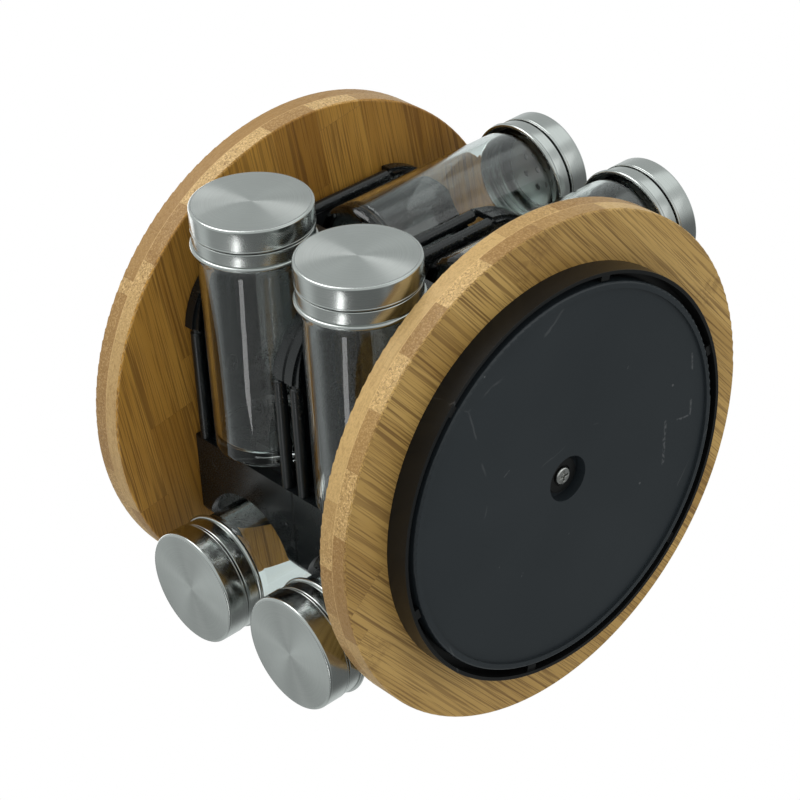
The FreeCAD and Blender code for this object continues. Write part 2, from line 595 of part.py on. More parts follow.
def sifter():
    """Steel collar that screws on the jar, with a plate of holes set into the jar's mouth."""
    skirt_inner = COLLAR_RADIUS - STEEL
    neck_inner = SIFTER_NECK_RADIUS - STEEL
    skirt_start = COLLAR_START + BEAD_RADIUS
    plate_top = SIFTER_TOP - SIFTER_RECESS_DEPTH
    shell = revolved([
        (skirt_inner, skirt_start),
        (COLLAR_RADIUS, skirt_start),
        (COLLAR_RADIUS, COLLAR_END),
        (SIFTER_NECK_RADIUS, COLLAR_END),
        (SIFTER_NECK_RADIUS, SIFTER_TOP),
        (SIFTER_RECESS_RADIUS, SIFTER_TOP),
        (SIFTER_RECESS_RADIUS, plate_top),
        (0.0, plate_top),
        (0.0, plate_top - STEEL),
        (SIFTER_RECESS_RADIUS + STEEL, plate_top - STEEL),
        (SIFTER_RECESS_RADIUS + STEEL, JAR_MOUTH),
        (neck_inner, JAR_MOUTH),
        (neck_inner, COLLAR_END - STEEL),
        (skirt_inner, COLLAR_END - STEEL),
    ])
    shell = shell.makeFillet(COLLAR_ROUND, circular_edges(shell, COLLAR_RADIUS, COLLAR_END))
    shell = shell.makeFillet(COLLAR_ROUND, circular_edges(shell, SIFTER_NECK_RADIUS, SIFTER_TOP))
    bead = Part.makeTorus(COLLAR_RADIUS + BEAD_REACH - BEAD_RADIUS, BEAD_RADIUS, Vector(0, 0, skirt_start))
    body = united([shell, bead])
    hole = cylinder(SIFTER_HOLE_RADIUS, plate_top - STEEL, plate_top, SIFTER_HOLE_CIRCLE)
    for opening in around(hole, SIFTER_HOLE_COUNT):
        body = body.cut(opening)
    return body.cut(cylinder(SIFTER_HOLE_RADIUS, plate_top - STEEL, plate_top))


def lid():
    """Flat steel lid with a rounded top edge."""
    inner = LID_RADIUS - STEEL
    shell = revolved([
        (inner, LID_START),
        (LID_RADIUS, LID_START),
        (LID_RADIUS, LID_END),
        (0.0, LID_END),
        (0.0, LID_END - STEEL),
        (inner, LID_END - STEEL),
    ])
    return shell.makeFillet(LID_EDGE_ROUND, circular_edges(shell, LID_RADIUS, LID_END))


def liner():
    """Soft disc inside the lid that seals on the sifter."""
    return cylinder(LID_RADIUS - STEEL - LINER_GAP, SIFTER_TOP + SEAL_GAP, LID_END - STEEL)


def on_jar_axis(shape, tier, quarter):
    """Copy of a jar piece laid in its tier and turned to its side."""
    laid = shape.copy()
    laid.rotate(Vector(0, 0, 0), Vector(0, 1, 0), 90.0)
    laid.translate(Vector(0, -JAR_OFFSET, TIER_BASE[tier] + JAR_AXIS_HEIGHT))
    return quarter_turned(laid, quarter)


# ---- all nodes ------------------------------------------------------------------------
def all_nodes():
    """Every node's name and shape."""
    nodes = {
        "base_plate": base_plate(),
        "pivot_washer": pivot_washer(),
        "pivot_screw": pivot_screw(),
        "bearing_cage": bearing_cage(),
        "bearing_balls": bearing_balls(),
        "turntable_ring": turntable_ring(),
        "ring_screws": ring_screws(),
        "bottom_disc": bottom_disc(),
        "tie_screws": tie_screws(),
        "lower_core": core("lower", TIE_SCREW_RADIUS + SCREW_PLAY, TIER_HEIGHT),
        "lower_rails": rails("lower"),
        "upper_core": core("upper", TIE_SCREW_RADIUS, TIE_BITE),
        "upper_rails": rails("upper"),
        "top_disc_screws": top_disc_screws(),
        "top_disc": top_disc(),
    }
    bay_shapes = {"lower": bay(), "upper": upper_bay()}
    jar_pieces = {"jar": glass_jar(), "sifter": sifter(), "lid": lid(), "liner": liner()}
    for tier in TIERS:
        for quarter, side in enumerate(SIDES):
            placed = quarter_turned(bay_shapes[tier], quarter)
            placed.translate(Vector(0, 0, TIER_BASE[tier]))
            nodes[f"bay_{tier}_{side}"] = placed
            for piece, shape in jar_pieces.items():
                nodes[f"{piece}_{tier}_{side}"] = on_jar_axis(shape, tier, quarter)
    return nodes


def main():
    """Write one STEP file per node."""
    os.makedirs("parts", exist_ok=True)
    for name, shape in all_nodes().items():
        if not shape.isValid():
            raise ValueError(f"{name} is not a valid shape")
        print(f"{name}: {len(shape.Solids)} solid(s), {shape.Volume:.1f} mm3")
        shape.exportStep(f"parts/{name}.step")


main()
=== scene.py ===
"""Looks of a revolving spice carousel: bamboo discs, black moulded tiers, glass jars with steel lids.

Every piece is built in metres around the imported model's nodes, in the same frame: +Z is the
axis that the carousel turns about, and the base plate's underside is at height 0.
"""

import logging
import math
from dataclasses import dataclass
from enum import Enum
from functools import reduce
from typing import Any, Sequence

import bmesh
import bpy
from mathutils import Matrix, Vector

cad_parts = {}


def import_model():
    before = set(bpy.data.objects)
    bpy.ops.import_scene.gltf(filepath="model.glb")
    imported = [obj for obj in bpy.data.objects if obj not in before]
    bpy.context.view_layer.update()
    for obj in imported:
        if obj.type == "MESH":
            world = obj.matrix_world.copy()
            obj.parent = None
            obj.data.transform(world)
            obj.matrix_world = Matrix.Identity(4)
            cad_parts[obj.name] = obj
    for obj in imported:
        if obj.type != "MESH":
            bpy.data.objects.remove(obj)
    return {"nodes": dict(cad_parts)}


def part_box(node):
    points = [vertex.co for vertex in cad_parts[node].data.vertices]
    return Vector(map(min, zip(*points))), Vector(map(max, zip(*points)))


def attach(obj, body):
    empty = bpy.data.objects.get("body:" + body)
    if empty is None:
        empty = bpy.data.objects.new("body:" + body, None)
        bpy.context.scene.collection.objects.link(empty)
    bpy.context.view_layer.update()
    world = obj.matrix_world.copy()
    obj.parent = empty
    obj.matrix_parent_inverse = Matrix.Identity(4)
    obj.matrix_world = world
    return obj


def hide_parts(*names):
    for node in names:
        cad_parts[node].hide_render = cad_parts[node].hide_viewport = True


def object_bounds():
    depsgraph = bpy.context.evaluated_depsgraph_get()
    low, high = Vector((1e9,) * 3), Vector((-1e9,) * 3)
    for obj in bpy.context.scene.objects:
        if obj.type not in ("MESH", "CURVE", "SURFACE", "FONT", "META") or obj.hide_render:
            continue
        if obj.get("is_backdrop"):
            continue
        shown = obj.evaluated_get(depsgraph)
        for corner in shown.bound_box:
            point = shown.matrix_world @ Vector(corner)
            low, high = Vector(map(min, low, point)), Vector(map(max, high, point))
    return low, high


log = logging.getLogger("spice_carousel")

MM = 0.001
TURN = 2.0 * math.pi
TOUCHING = 1e-6         # metres within which two places count as one
SEAM = 2e-7             # metres within which a spun surface's corners are joined
LOOSE = 2e-6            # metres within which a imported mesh's corners are joined
FLAT = math.radians(0.4)        # bend below which neighbouring faces become one
ROUNDING_STEPS = 6      # facets in each rounded corner of an outline

Colour = tuple[float, float, float]
WHITE: Colour = (1.0, 1.0, 1.0)
Socket = bpy.types.NodeSocket


class Side(Enum):
    """The way a jar's lid points."""

    RIGHT = "right"
    BACK = "back"
    LEFT = "left"
    FRONT = "front"

    @property
    def direction(self) -> Vector:
        """Unit vector from the carousel's middle towards the lid."""
        steps = {"right": (1, 0, 0), "back": (0, 1, 0), "left": (-1, 0, 0), "front": (0, -1, 0)}
        return Vector(steps[self.value])

    @property
    def lies_along_x(self) -> bool:
        """True where the jar lies along the X axis."""
        return abs(self.direction.x) > 0.5


class Tier(Enum):
    """The storey of four jars that a jar belongs to."""

    LOWER = "lower"
    UPPER = "upper"


# ---- node trees -------------------------------------------------------------------------
class Graph:
    """Adds nodes to one node tree and links them."""

    def __init__(self, tree: bpy.types.NodeTree) -> None:
        """Start on a node tree.

        Args:
            tree: The material's, world's or group's node tree.
        """
        self.tree = tree

    def node(self, kind: str, **settings: Any) -> bpy.types.Node:
        """Add a node.

        Args:
            kind: The node's type name.
            **settings: Properties to set on it.

        Returns:
            The new node.
        """
        made = self.tree.nodes.new(kind)
        for key, value in settings.items():
            setattr(made, key, value)
        return made

    def feed(self, target: Socket, source: Any) -> None:
        """Link a socket to an input, or set the input's value.

        Args:
            target: The input socket.
            source: An output socket, a number or a tuple.
        """
        if isinstance(source, bpy.types.NodeSocket):
            self.tree.links.new(source, target)
        elif source is not None:
            target.default_value = source

    def fed(self, kind: str, *sources: Any, output: int | str = 0, **settings: Any) -> Socket:
        """Add a node and feed its first inputs in order.

        Args:
            kind: The node's type name.
            *sources: What each input gets, or None where it keeps its own value.
            output: The output that is wanted.
            **settings: Properties to set on the node.

        Returns:
            The output's socket.
        """
        made = self.node(kind, **settings)
        for target, source in zip(made.inputs, sources):
            self.feed(target, source)
        return made.outputs[output]

    def fill(self, made: bpy.types.Node, **values: Any) -> bpy.types.Node:
        """Feed a node's inputs by name.

        Args:
            made: The node.
            **values: Values or sockets by the input's name, with _ for a space.

        Returns:
            The node.
        """
        for key, value in values.items():
            self.feed(made.inputs[key.replace("_", " ")], value)
        return made

    def math(self, operation: str, a: Any, b: Any = None, c: Any = None, clamp: bool = False) -> Socket:
        """The result of a Math node."""
        return self.fed("ShaderNodeMath", a, b, c, operation=operation, use_clamp=clamp)

    def times(self, *factors: Any) -> Socket:
        """Several values multiplied together."""
        return reduce(lambda a, b: self.math("MULTIPLY", a, b), factors)

    def plus(self, a: Any, b: Any) -> Socket:
        """The sum of two values."""
        return self.math("ADD", a, b)

    def minus(self, a: Any, b: Any) -> Socket:
        """The first value less the second."""
        return self.math("SUBTRACT", a, b)

    def scaled(self, a: Any, share: Any, start: Any) -> Socket:
        """A value times a share, plus a start."""
        return self.math("MULTIPLY_ADD", a, share, start)

    def larger(self, a: Any, b: Any) -> Socket:
        """The larger of two values."""
        return self.math("MAXIMUM", a, b)

    def from_half(self, value: Any) -> Socket:
        """How far a value's fraction is from a half."""
        return self.math("ABSOLUTE", self.minus(self.math("FRACT", value), 0.5))

    def vector(self, operation: str, a: Any, b: Any = None) -> Socket:
        """The vector from a Vector Math node."""
        return self.fed("ShaderNodeVectorMath", a, b, operation=operation)

    def length(self, a: Any) -> Socket:
        """Length of a vector."""
        return self.fed("ShaderNodeVectorMath", a, output="Value", operation="LENGTH")

    def dot(self, a: Any, b: Any) -> Socket:
        """Dot product of two vectors."""
        return self.fed("ShaderNodeVectorMath", a, b, output="Value", operation="DOT_PRODUCT")

    def split(self, vector: Socket) -> Sequence[Socket]:
        """The three parts of a vector."""
        return self.fed("ShaderNodeSeparateXYZ", vector).node.outputs[:]

    def join(self, x: Any, y: Any, z: Any = 0.0) -> Socket:
        """A vector from three parts."""
        return self.fed("ShaderNodeCombineXYZ", x, y, z)

    def mix(self, factor: Any, a: Any, b: Any) -> Socket:
        """Mix two numbers, which are the Mix node's third and fourth inputs."""
        return self.fed("ShaderNodeMix", factor, None, a, b, data_type="FLOAT")

    def blend(self, factor: Any, a: Any, b: Any, mode: str = "MIX") -> Socket:
        """Mix two colours, which are the Mix node's seventh and eighth inputs.

        Args:
            factor: How far the mix goes towards the second colour.
            a: The first colour or its socket.
            b: The second colour or its socket.
            mode: The way they are mixed.

        Returns:
            The mixed colour.
        """
        made = self.node("ShaderNodeMix", data_type="RGBA", blend_type=mode)
        self.feed(made.inputs["Factor"], factor)
        for index, colour in ((6, a), (7, b)):
            self.feed(made.inputs[index], (*colour, 1.0) if isinstance(colour, tuple) else colour)
        return made.outputs[2]

    def span(self, value: Any, low: float, high: float, to_low: float = 0.0,
             to_high: float = 1.0) -> Socket:
        """Map a range of values smoothly to another.

        Args:
            value: What is mapped.
            low: Value that gives to_low.
            high: Value that gives to_high.
            to_low: Result at the low end.
            to_high: Result at the high end.

        Returns:
            The mapped value.
        """
        return self.fed("ShaderNodeMapRange", value, low, high, to_low, to_high,
                        interpolation_type="SMOOTHSTEP")

    def noise(self, vector: Any, scale: float, detail: float = 2.0, roughness: float = 0.5,
              dimensions: str = "3D") -> Socket:
        """The value of a Noise Texture.

        Args:
            vector: Where it is read: a vector, or a number for 1D.
            scale: How many ups and downs there are to a metre.
            detail: How many finer layers there are.
            roughness: How strong the finer layers are.
            dimensions: 1D or 3D.

        Returns:
            A number from 0 to 1.
        """
        place = {"W" if dimensions == "1D" else "Vector": vector}
        made = self.node("ShaderNodeTexNoise", noise_dimensions=dimensions)
        return self.fill(made, Scale=scale, Detail=detail, Roughness=roughness, **place).outputs["Fac"]

    def random(self, dimensions: str, vector: Any) -> Socket:
        """A number from 0 to 1 that belongs to a vector."""
        return self.fed("ShaderNodeTexWhiteNoise", vector, output="Value", noise_dimensions=dimensions)

    def bump(self, height: Any, strength: float, distance: float) -> Socket:
        """The normal from a Bump node."""
        made = self.node("ShaderNodeBump")
        return self.fill(made, Strength=strength, Distance=distance, Height=height).outputs[0]

    def place(self, group: bpy.types.NodeTree, **values: Any) -> bpy.types.NodeOutputs:
        """Add a group node, fill its inputs by name and give its outputs."""
        return self.fill(self.node("ShaderNodeGroup", node_tree=group), **values).outputs


class GroupGraph(Graph):
    """A shader node group with named inputs, whose outputs are numbers."""

    def __init__(self, name: str, **inputs: Any) -> None:
        """Start the group.

        Args:
            name: The group's name.
            **inputs: Default number of each input by name, with _ for a space, or None for a vector.
        """
        super().__init__(bpy.data.node_groups.new(name, "ShaderNodeTree"))
        for key, default in inputs.items():
            kind = "NodeSocketVector" if default is None else "NodeSocketFloat"
            made = self.tree.interface.new_socket(
                name=key.replace("_", " "), in_out="INPUT", socket_type=kind)
            if default is not None:
                made.default_value = default
        self.given = self.node("NodeGroupInput").outputs

    def give(self, **values: Socket) -> bpy.types.NodeTree:
        """Make the outputs.

        Args:
            **values: The value of each output by name.

        Returns:
            The finished group.
        """
        for key in values:
            self.tree.interface.new_socket(name=key, in_out="OUTPUT", socket_type="NodeSocketFloat")
        result = self.node("NodeGroupOutput")
        for key, value in values.items():
            self.feed(result.inputs[key], value)
        return self.tree


class Effects:
    """The effects that several finishes share, each a node group that is built once."""

    def __init__(self) -> None:
        """Build every group."""
        self.ply = self.build_ply()
        self.spinning = self.build_spinning()
        self.handling = self.build_handling()
        self.moulding = self.build_moulding()
        self.scratch = self.build_scratch()

    @staticmethod
    def build_ply() -> bpy.types.NodeTree:
        """One ply of pressed bamboo strips, as a solid whose fibres run along its first axis.

        Returns:
            The group.
        """
        strip_length = 0.21
        knuckle_spacing = 0.26
        sway_scale, sway_reach = (7.0, 26.0, 26.0), 0.002
        bundles, hairs = (16.0, 980.0), (32.0, 2100.0)
        mottle_scale = (260.0, 330.0, 330.0)
        g = GroupGraph("bamboo_ply", Vector=None, Strip_Width=0.022, Seed=0.0)
        vector, width, seed = g.given["Vector"], g.given["Strip Width"], g.given["Seed"]
        along, across, up = g.split(vector)
        shifted = g.vector("ADD", vector, g.join(seed, seed, seed))
        sway = g.noise(g.vector("MULTIPLY", shifted, sway_scale), scale=1.0, detail=1.0)
        bent = g.scaled(g.minus(sway, 0.5), sway_reach, across)
        lane = g.math("DIVIDE", across, width)
        strip = g.math("FLOOR", lane)
        lot = g.random("2D", g.join(strip, seed))
        place = g.math("DIVIDE", g.scaled(lot, 0.37, along), strip_length)
        piece = g.math("FLOOR", place)
        shade = g.random("3D", g.join(strip, piece, seed))
        lengths = g.join(g.times(along, 9.0), g.times(bent, 150.0), g.scaled(strip, 5.0, seed))
        slow = g.noise(lengths, scale=1.0, detail=2.0)
        tone = g.plus(g.times(shade, 0.65), g.times(g.span(slow, 0.25, 0.75), 0.35))
        drift = g.times(shade, 19.0)
        coarse, fine = (
            g.noise(g.join(g.scaled(along, slack, drift), g.times(bent, tight), g.times(up, tight)),
                    scale=1.0, detail=1.0) for slack, tight in (bundles, hairs))
        patch = g.noise(g.join(g.times(along, 14.0), g.times(bent, 60.0), seed), scale=1.0, detail=2.0)
        bundle = g.times(g.span(coarse, 0.54, 0.64), g.span(patch, 0.3, 0.6, 0.45, 1.0))
        fibre = g.larger(bundle, g.times(g.span(fine, 0.52, 0.64), 0.75))
        spot = g.scaled(lot, 0.31, g.times(piece, strip_length))
        reach = g.from_half(g.math("DIVIDE", g.plus(along, spot), knuckle_spacing))
        mottle = g.noise(g.vector("MULTIPLY", shifted, mottle_scale), scale=1.0, detail=3.0,
                         roughness=0.65)
        knuckle = g.times(g.span(reach, 0.028, 0.006), g.span(mottle, 0.42, 0.62))
        joint = g.larger(g.span(g.from_half(lane), 0.492, 0.499),
                         g.span(g.from_half(place), 0.4988, 0.4998))
        height = g.minus(1.0, g.larger(fibre, joint))
        return g.give(Tone=tone, Strip=shade, Fibre=fibre, Knuckle=knuckle, Joint=joint, Height=height)

    @staticmethod
    def build_spinning() -> bpy.types.NodeTree:
        """Fine rings that a lathe leaves, from the distance run along a spun piece's outline.

        Returns:
            The group.
        """
        g = GroupGraph("spun_rings", Run=0.0, Vector=None)
        rings = g.noise(g.given["Run"], scale=3200.0, detail=3.0, roughness=0.7, dimensions="1D")
        band = g.noise(g.given["Run"], scale=420.0, detail=2.0, roughness=0.6, dimensions="1D")
        smear = g.noise(g.given["Vector"], scale=70.0, detail=3.0, roughness=0.6)
        return g.give(Rings=rings, Band=band, Smear=smear)

    @staticmethod
    def build_handling() -> bpy.types.NodeTree:
        """Dust specks, faint smudges and hairlines from use.

        Returns:
            The group.
        """
        g = GroupGraph("handling_marks", Vector=None, Amount=0.5)
        vector, amount = g.given["Vector"], g.given["Amount"]
        cells = g.fill(g.node("ShaderNodeTexVoronoi", feature="F1", voronoi_dimensions="3D"),
                       Vector=vector, Scale=150.0, Randomness=1.0).outputs
        size = g.span(g.split(cells["Color"])[0], 0.86, 1.0, 0.0, 0.075)
        speck = g.math("LESS_THAN", cells["Distance"], size)
        dust = g.times(speck, amount)
        cloud = g.noise(vector, scale=24.0, detail=4.0, roughness=0.62)
        smudge = g.times(g.span(cloud, 0.42, 0.72), amount)
        warped = g.vector("ADD", vector, g.join(g.times(cloud, 0.02), 0.0, 0.0))
        edges = g.node("ShaderNodeTexVoronoi", feature="DISTANCE_TO_EDGE", voronoi_dimensions="3D")
        streak = g.fill(edges, Vector=warped, Scale=9.0).outputs["Distance"]
        broken = g.span(g.noise(vector, scale=55.0, detail=2.0), 0.55, 0.62)
        hairline = g.times(g.span(streak, 0.0032, 0.0012), broken, amount)
        return g.give(Dust=dust, Smudge=smudge, Hairline=hairline)

    @staticmethod
    def build_moulding() -> bpy.types.NodeTree:
        """Fine texture of a moulded plastic skin, with faint flow marks.

        Returns:
            The group.
        """
        g = GroupGraph("moulded_skin", Vector=None)
        vector = g.given["Vector"]
        skin = g.noise(vector, scale=1900.0, detail=2.0, roughness=0.6)
        flow = g.noise(g.vector("MULTIPLY", vector, (14.0, 14.0, 60.0)), scale=1.0, detail=3.0,
                       roughness=0.55)
        return g.give(Skin=skin, Flow=flow)

    @staticmethod
    def build_scratch() -> bpy.types.NodeTree:
        """One scratch between two points of a flat face.

        Returns:
            The group.
        """
        g = GroupGraph("single_scratch", Vector=None, Start=None, End=None, Width=0.0003)
        flat = g.vector("MULTIPLY", g.given["Vector"], (1.0, 1.0, 0.0))
        wobble = g.noise(flat, scale=210.0, detail=1.0)
        offset = g.times(g.minus(wobble, 0.5), 0.0016)
        point = g.vector("ADD", flat, g.join(offset, offset))
        arm = g.vector("SUBTRACT", g.given["End"], g.given["Start"])
        out = g.vector("SUBTRACT", point, g.given["Start"])
        share = g.math("DIVIDE", g.dot(out, arm), g.dot(arm, arm), clamp=True)
        foot = g.vector("MULTIPLY", arm, g.join(share, share, share))
        gap = g.length(g.vector("SUBTRACT", out, foot))
        near = g.math("SUBTRACT", 1.0, g.math("DIVIDE", gap, g.given["Width"]), clamp=True)
        faded = g.times(near, g.span(g.noise(flat, scale=900.0, detail=1.0), 0.35, 0.55))
        return g.give(Scratch=faded)


# ---- finishes ---------------------------------------------------------------------------
def start_material(name: str) -> tuple[bpy.types.Material, Graph, bpy.types.Node]:
    """Start a material.

    Args:
        name: The material's name.

    Returns:
        The material, its graph and its Principled shader.
    """
    material = bpy.data.materials.new(name)
    material.use_nodes = True
    graph = Graph(material.node_tree)
    return material, graph, material.node_tree.nodes["Principled BSDF"]


def shaded(colour: Colour, share: float) -> Colour:
    """A colour with each part multiplied by a share."""
    return colour[0] * share, colour[1] * share, colour[2] * share


def object_coordinates(g: Graph) -> Socket:
    """The surface's place in the row frame, in metres."""
    return g.node("ShaderNodeTexCoord").outputs["Object"]


@dataclass(frozen=True)
class Bamboo:
    """Two crossed plies of pressed bamboo under a satin oil."""

    name: str
    grain_angle: float
    base: float
    thickness: float
    light: Colour
    dark: Colour
    fibre: Colour
    edge_light: Colour
    edge_dark: Colour
    seed: float = 0.0
    strip: float = 0.02
    fibre_strength: float = 0.75
    edge_fibre: float = 0.2
    knuckle: float = 0.35
    relief: float = 0.22 * MM

    def build(self, effects: Effects) -> bpy.types.Material:
        """Make the material.

        Args:
            effects: The shared node groups.

        Returns:
            The material.
        """
        material, g, shader = start_material(self.name)
        where = object_coordinates(g)
        turned = g.fill(g.node("ShaderNodeMapping"), Vector=where,
                        Rotation=(0.0, 0.0, -self.grain_angle)).outputs[0]
        along, across, up = g.split(turned)
        lower = g.place(effects.ply, Vector=turned, Strip_Width=self.strip, Seed=self.seed)
        upper = g.place(effects.ply, Vector=g.join(across, along, up), Strip_Width=self.strip * 0.8,
                        Seed=self.seed + 3.7)
        share = g.math("DIVIDE", g.minus(up, self.base), self.thickness)
        waver = g.times(g.minus(g.noise(where, scale=40.0, detail=1.0), 0.5), 0.03)
        from_middle = g.minus(g.plus(share, waver), 0.5)
        second = g.math("GREATER_THAN", from_middle, 0.0)
        glue = g.span(g.math("ABSOLUTE", from_middle), 0.018, 0.004)
        mixed = {label: g.mix(second, lower[label], upper[label])
                 for label in ("Tone", "Strip", "Fibre", "Knuckle", "Joint", "Height")}
        body = g.blend(mixed["Tone"], self.dark, self.light)
        normal = g.node("ShaderNodeNewGeometry").outputs["True Normal"]
        facing_up = g.math("ABSOLUTE", g.split(normal)[2])
        rim = g.span(facing_up, 0.7, 0.3)
        blocks = g.blend(g.span(mixed["Strip"], 0.2, 0.8), self.edge_dark, self.edge_light)
        body = g.blend(rim, body, blocks)
        strength = g.scaled(rim, self.edge_fibre - self.fibre_strength, self.fibre_strength)
        lined = g.blend(g.times(mixed["Fibre"], strength), body, self.fibre)
        squared = g.times(along, along)
        whole = g.scaled(across, across, squared)
        lengthwise = g.math("DIVIDE", squared, g.larger(whole, 0.000001))
        end_grain = g.math("ABSOLUTE", g.minus(second, lengthwise))
        speckle = g.times(g.span(end_grain, 0.25, 0.6, 0.25, 1.0), rim,
                          g.span(mixed["Strip"], 0.35, 0.6, 0.3, 0.9))
        dots = g.span(g.noise(where, scale=1300.0, detail=2.0, roughness=0.7), 0.5, 0.6)
        pale = tuple(min(1.0, 1.35 * c + 0.06) for c in self.edge_light)
        lined = g.blend(g.times(dots, speckle, 0.8), lined, pale)
        pores = g.span(g.noise(where, scale=1100.0, detail=2.0, roughness=0.7), 0.46, 0.36)
        lined = g.blend(g.times(pores, speckle, 0.6), lined, self.fibre)
        marked = g.blend(g.times(mixed["Knuckle"], self.knuckle), lined, self.fibre)
        marked = g.blend(g.times(glue, rim, 0.4), marked, pale)
        coloured = g.blend(g.times(mixed["Joint"], 0.2), marked, self.fibre)
        wear = g.place(effects.handling, Vector=where, Amount=0.4)
        coloured = g.blend(g.times(wear["Smudge"], 0.3), coloured, self.dark, "MULTIPLY")
        rough = g.plus(g.scaled(mixed["Fibre"], 0.16, 0.42), g.times(wear["Smudge"], 0.12))
        g.fill(shader, Base_Color=coloured, Roughness=rough, Specular_IOR_Level=0.4,
               Normal=g.bump(mixed["Height"], strength=0.3, distance=self.relief))
        return material


@dataclass(frozen=True)
class SpunSteel:
    """Thin stainless sheet with bright rolled sides and flats brushed round its axis.

    The map's second part runs down the sides from 0 at the edge of the flat, and is the
    negative distance from that edge on the flat.
    """

    name: str = "spun_steel"
    colour: Colour = (0.515, 0.535, 0.52)
    flat_roughness: float = 0.31
    side_roughness: float = 0.15
    anisotropy: float = 0.9
    relief: float = 0.04 * MM

    def build(self, effects: Effects) -> bpy.types.Material:
        """Make the material.

        Args:
            effects: The shared node groups.

        Returns:
            The material.
        """
        material, g, shader = start_material(self.name)
        run = g.split(g.node("ShaderNodeUVMap", uv_map="spun").outputs[0])[1]
        where = object_coordinates(g)
        marks = g.place(effects.spinning, Run=run, Vector=where)
        wear = g.place(effects.handling, Vector=where, Amount=0.8)
        tint = g.blend(g.span(marks["Rings"], 0.25, 0.75), shaded(self.colour, 0.84), self.colour)
        smear = g.times(g.span(marks["Smear"], 0.4, 0.7), 0.18)
        tint = g.blend(smear, tint, shaded(self.colour, 0.7))
        flat = g.span(run, 0.0001, -0.0004)
        rough = g.scaled(flat, self.flat_roughness - self.side_roughness, self.side_roughness)
        rough = g.scaled(g.minus(marks["Band"], 0.5), 0.1, rough)
        rough = g.scaled(wear["Smudge"], 0.06, rough)
        tangent = g.node("ShaderNodeTangent", direction_type="UV_MAP", uv_map="spun").outputs[0]
        height = g.scaled(marks["Band"], 0.6, marks["Rings"])
        g.fill(shader, Base_Color=tint, Metallic=1.0, Roughness=rough, Anisotropic=self.anisotropy,
               Tangent=tangent, Normal=g.bump(height, strength=0.08, distance=self.relief))
        return material


@dataclass(frozen=True)
class ClearGlass:
    """Pressed soda glass with a slight ripple along the jar."""

    name: str
    stretch: tuple[float, float, float]
    tint: Colour = (0.93, 0.975, 0.967)
    bending: float = 1.5
    relief: float = 1.1 * MM

    def build(self, effects: Effects) -> bpy.types.Material:
        """Make the material.

        Args:
            effects: The shared node groups.

        Returns:
            The material.
        """
        material, g, shader = start_material(self.name)
        where = object_coordinates(g)
        ripple = g.noise(g.vector("MULTIPLY", where, self.stretch), scale=1.0, roughness=0.45)
        wear = g.place(effects.handling, Vector=where, Amount=0.5)
        haze = g.scaled(wear["Smudge"], 0.012, 0.002)
        g.fill(shader, Base_Color=(*self.tint, 1.0), Roughness=haze, Transmission_Weight=1.0,
               IOR=self.bending, Normal=g.bump(ripple, strength=0.08, distance=self.relief))
        return material


@dataclass(frozen=True)
class Scratch:
    """A scratch between two points of a flat face, in metres."""

    start: tuple[float, float]
    end: tuple[float, float]
    width: float = 0.0003


@dataclass(frozen=True)
class MouldedBlack:
    """Satin black plastic with a fine moulded skin, dust and rubbed places."""

    name: str
    colour: Colour = (0.004, 0.0056, 0.0064)
    rubbed: Colour = (0.014, 0.017, 0.018)
    roughness: float = 0.27
    specular: float = 0.46
    dust: float = 0.3
    grain: float = 0.035
    relief: float = 0.08 * MM
    pale: Colour = (0.42, 0.43, 0.43)
    scratches: tuple[Scratch, ...] = ()

    def build(self, effects: Effects) -> bpy.types.Material:
        """Make the material.

        Args:
            effects: The shared node groups.

        Returns:
            The material.
        """
        material, g, shader = start_material(self.name)
        where = object_coordinates(g)
        skin = g.place(effects.moulding, Vector=where)
        wear = g.place(effects.handling, Vector=where, Amount=self.dust)
        tone = g.span(skin["Flow"], 0.3, 0.75, 0.0, 0.35)
        colour = g.blend(tone, self.colour, self.rubbed)
        colour = g.blend(g.times(wear["Smudge"], 0.35), colour, self.rubbed)
        colour = g.blend(g.times(wear["Dust"], 0.8), colour, self.pale)
        colour = g.blend(g.times(wear["Hairline"], 0.3), colour, self.pale)
        for mark in self.scratches:
            line = g.place(effects.scratch, Vector=where, Start=(*mark.start, 0.0),
                           End=(*mark.end, 0.0), Width=mark.width)
            colour = g.blend(g.times(line["Scratch"], 0.2), colour, self.pale)
        rough = g.scaled(wear["Smudge"], 0.2, self.roughness)
        rough = g.scaled(g.minus(skin["Skin"], 0.5), 0.06, rough)
        g.fill(shader, Base_Color=colour, Roughness=rough, Specular_IOR_Level=self.specular,
               Normal=g.bump(skin["Skin"], strength=self.grain, distance=self.relief))
        return material


@dataclass(frozen=True)
class PlatedMetal:
    """Plated or blackened fastener, or polished ball."""

    name: str
    colour: Colour = (0.62, 0.62, 0.6)
    roughness: float = 0.24
    relief: float = 0.06 * MM

    def build(self, effects: Effects) -> bpy.types.Material:
        """Make the material.

        Args:
            effects: The shared node groups; not used.

        Returns:
            The material.
        """
        material, g, shader = start_material(self.name)
        where = object_coordinates(g)
        cloud = g.noise(where, scale=900.0, detail=3.0, roughness=0.6)
        tint = g.blend(g.span(cloud, 0.35, 0.7), self.colour, shaded(self.colour, 0.72))
        rough = g.scaled(cloud, 0.14, self.roughness - 0.07)
        g.fill(shader, Base_Color=tint, Metallic=1.0, Roughness=rough,
               Normal=g.bump(cloud, strength=0.1, distance=self.relief))
        return material


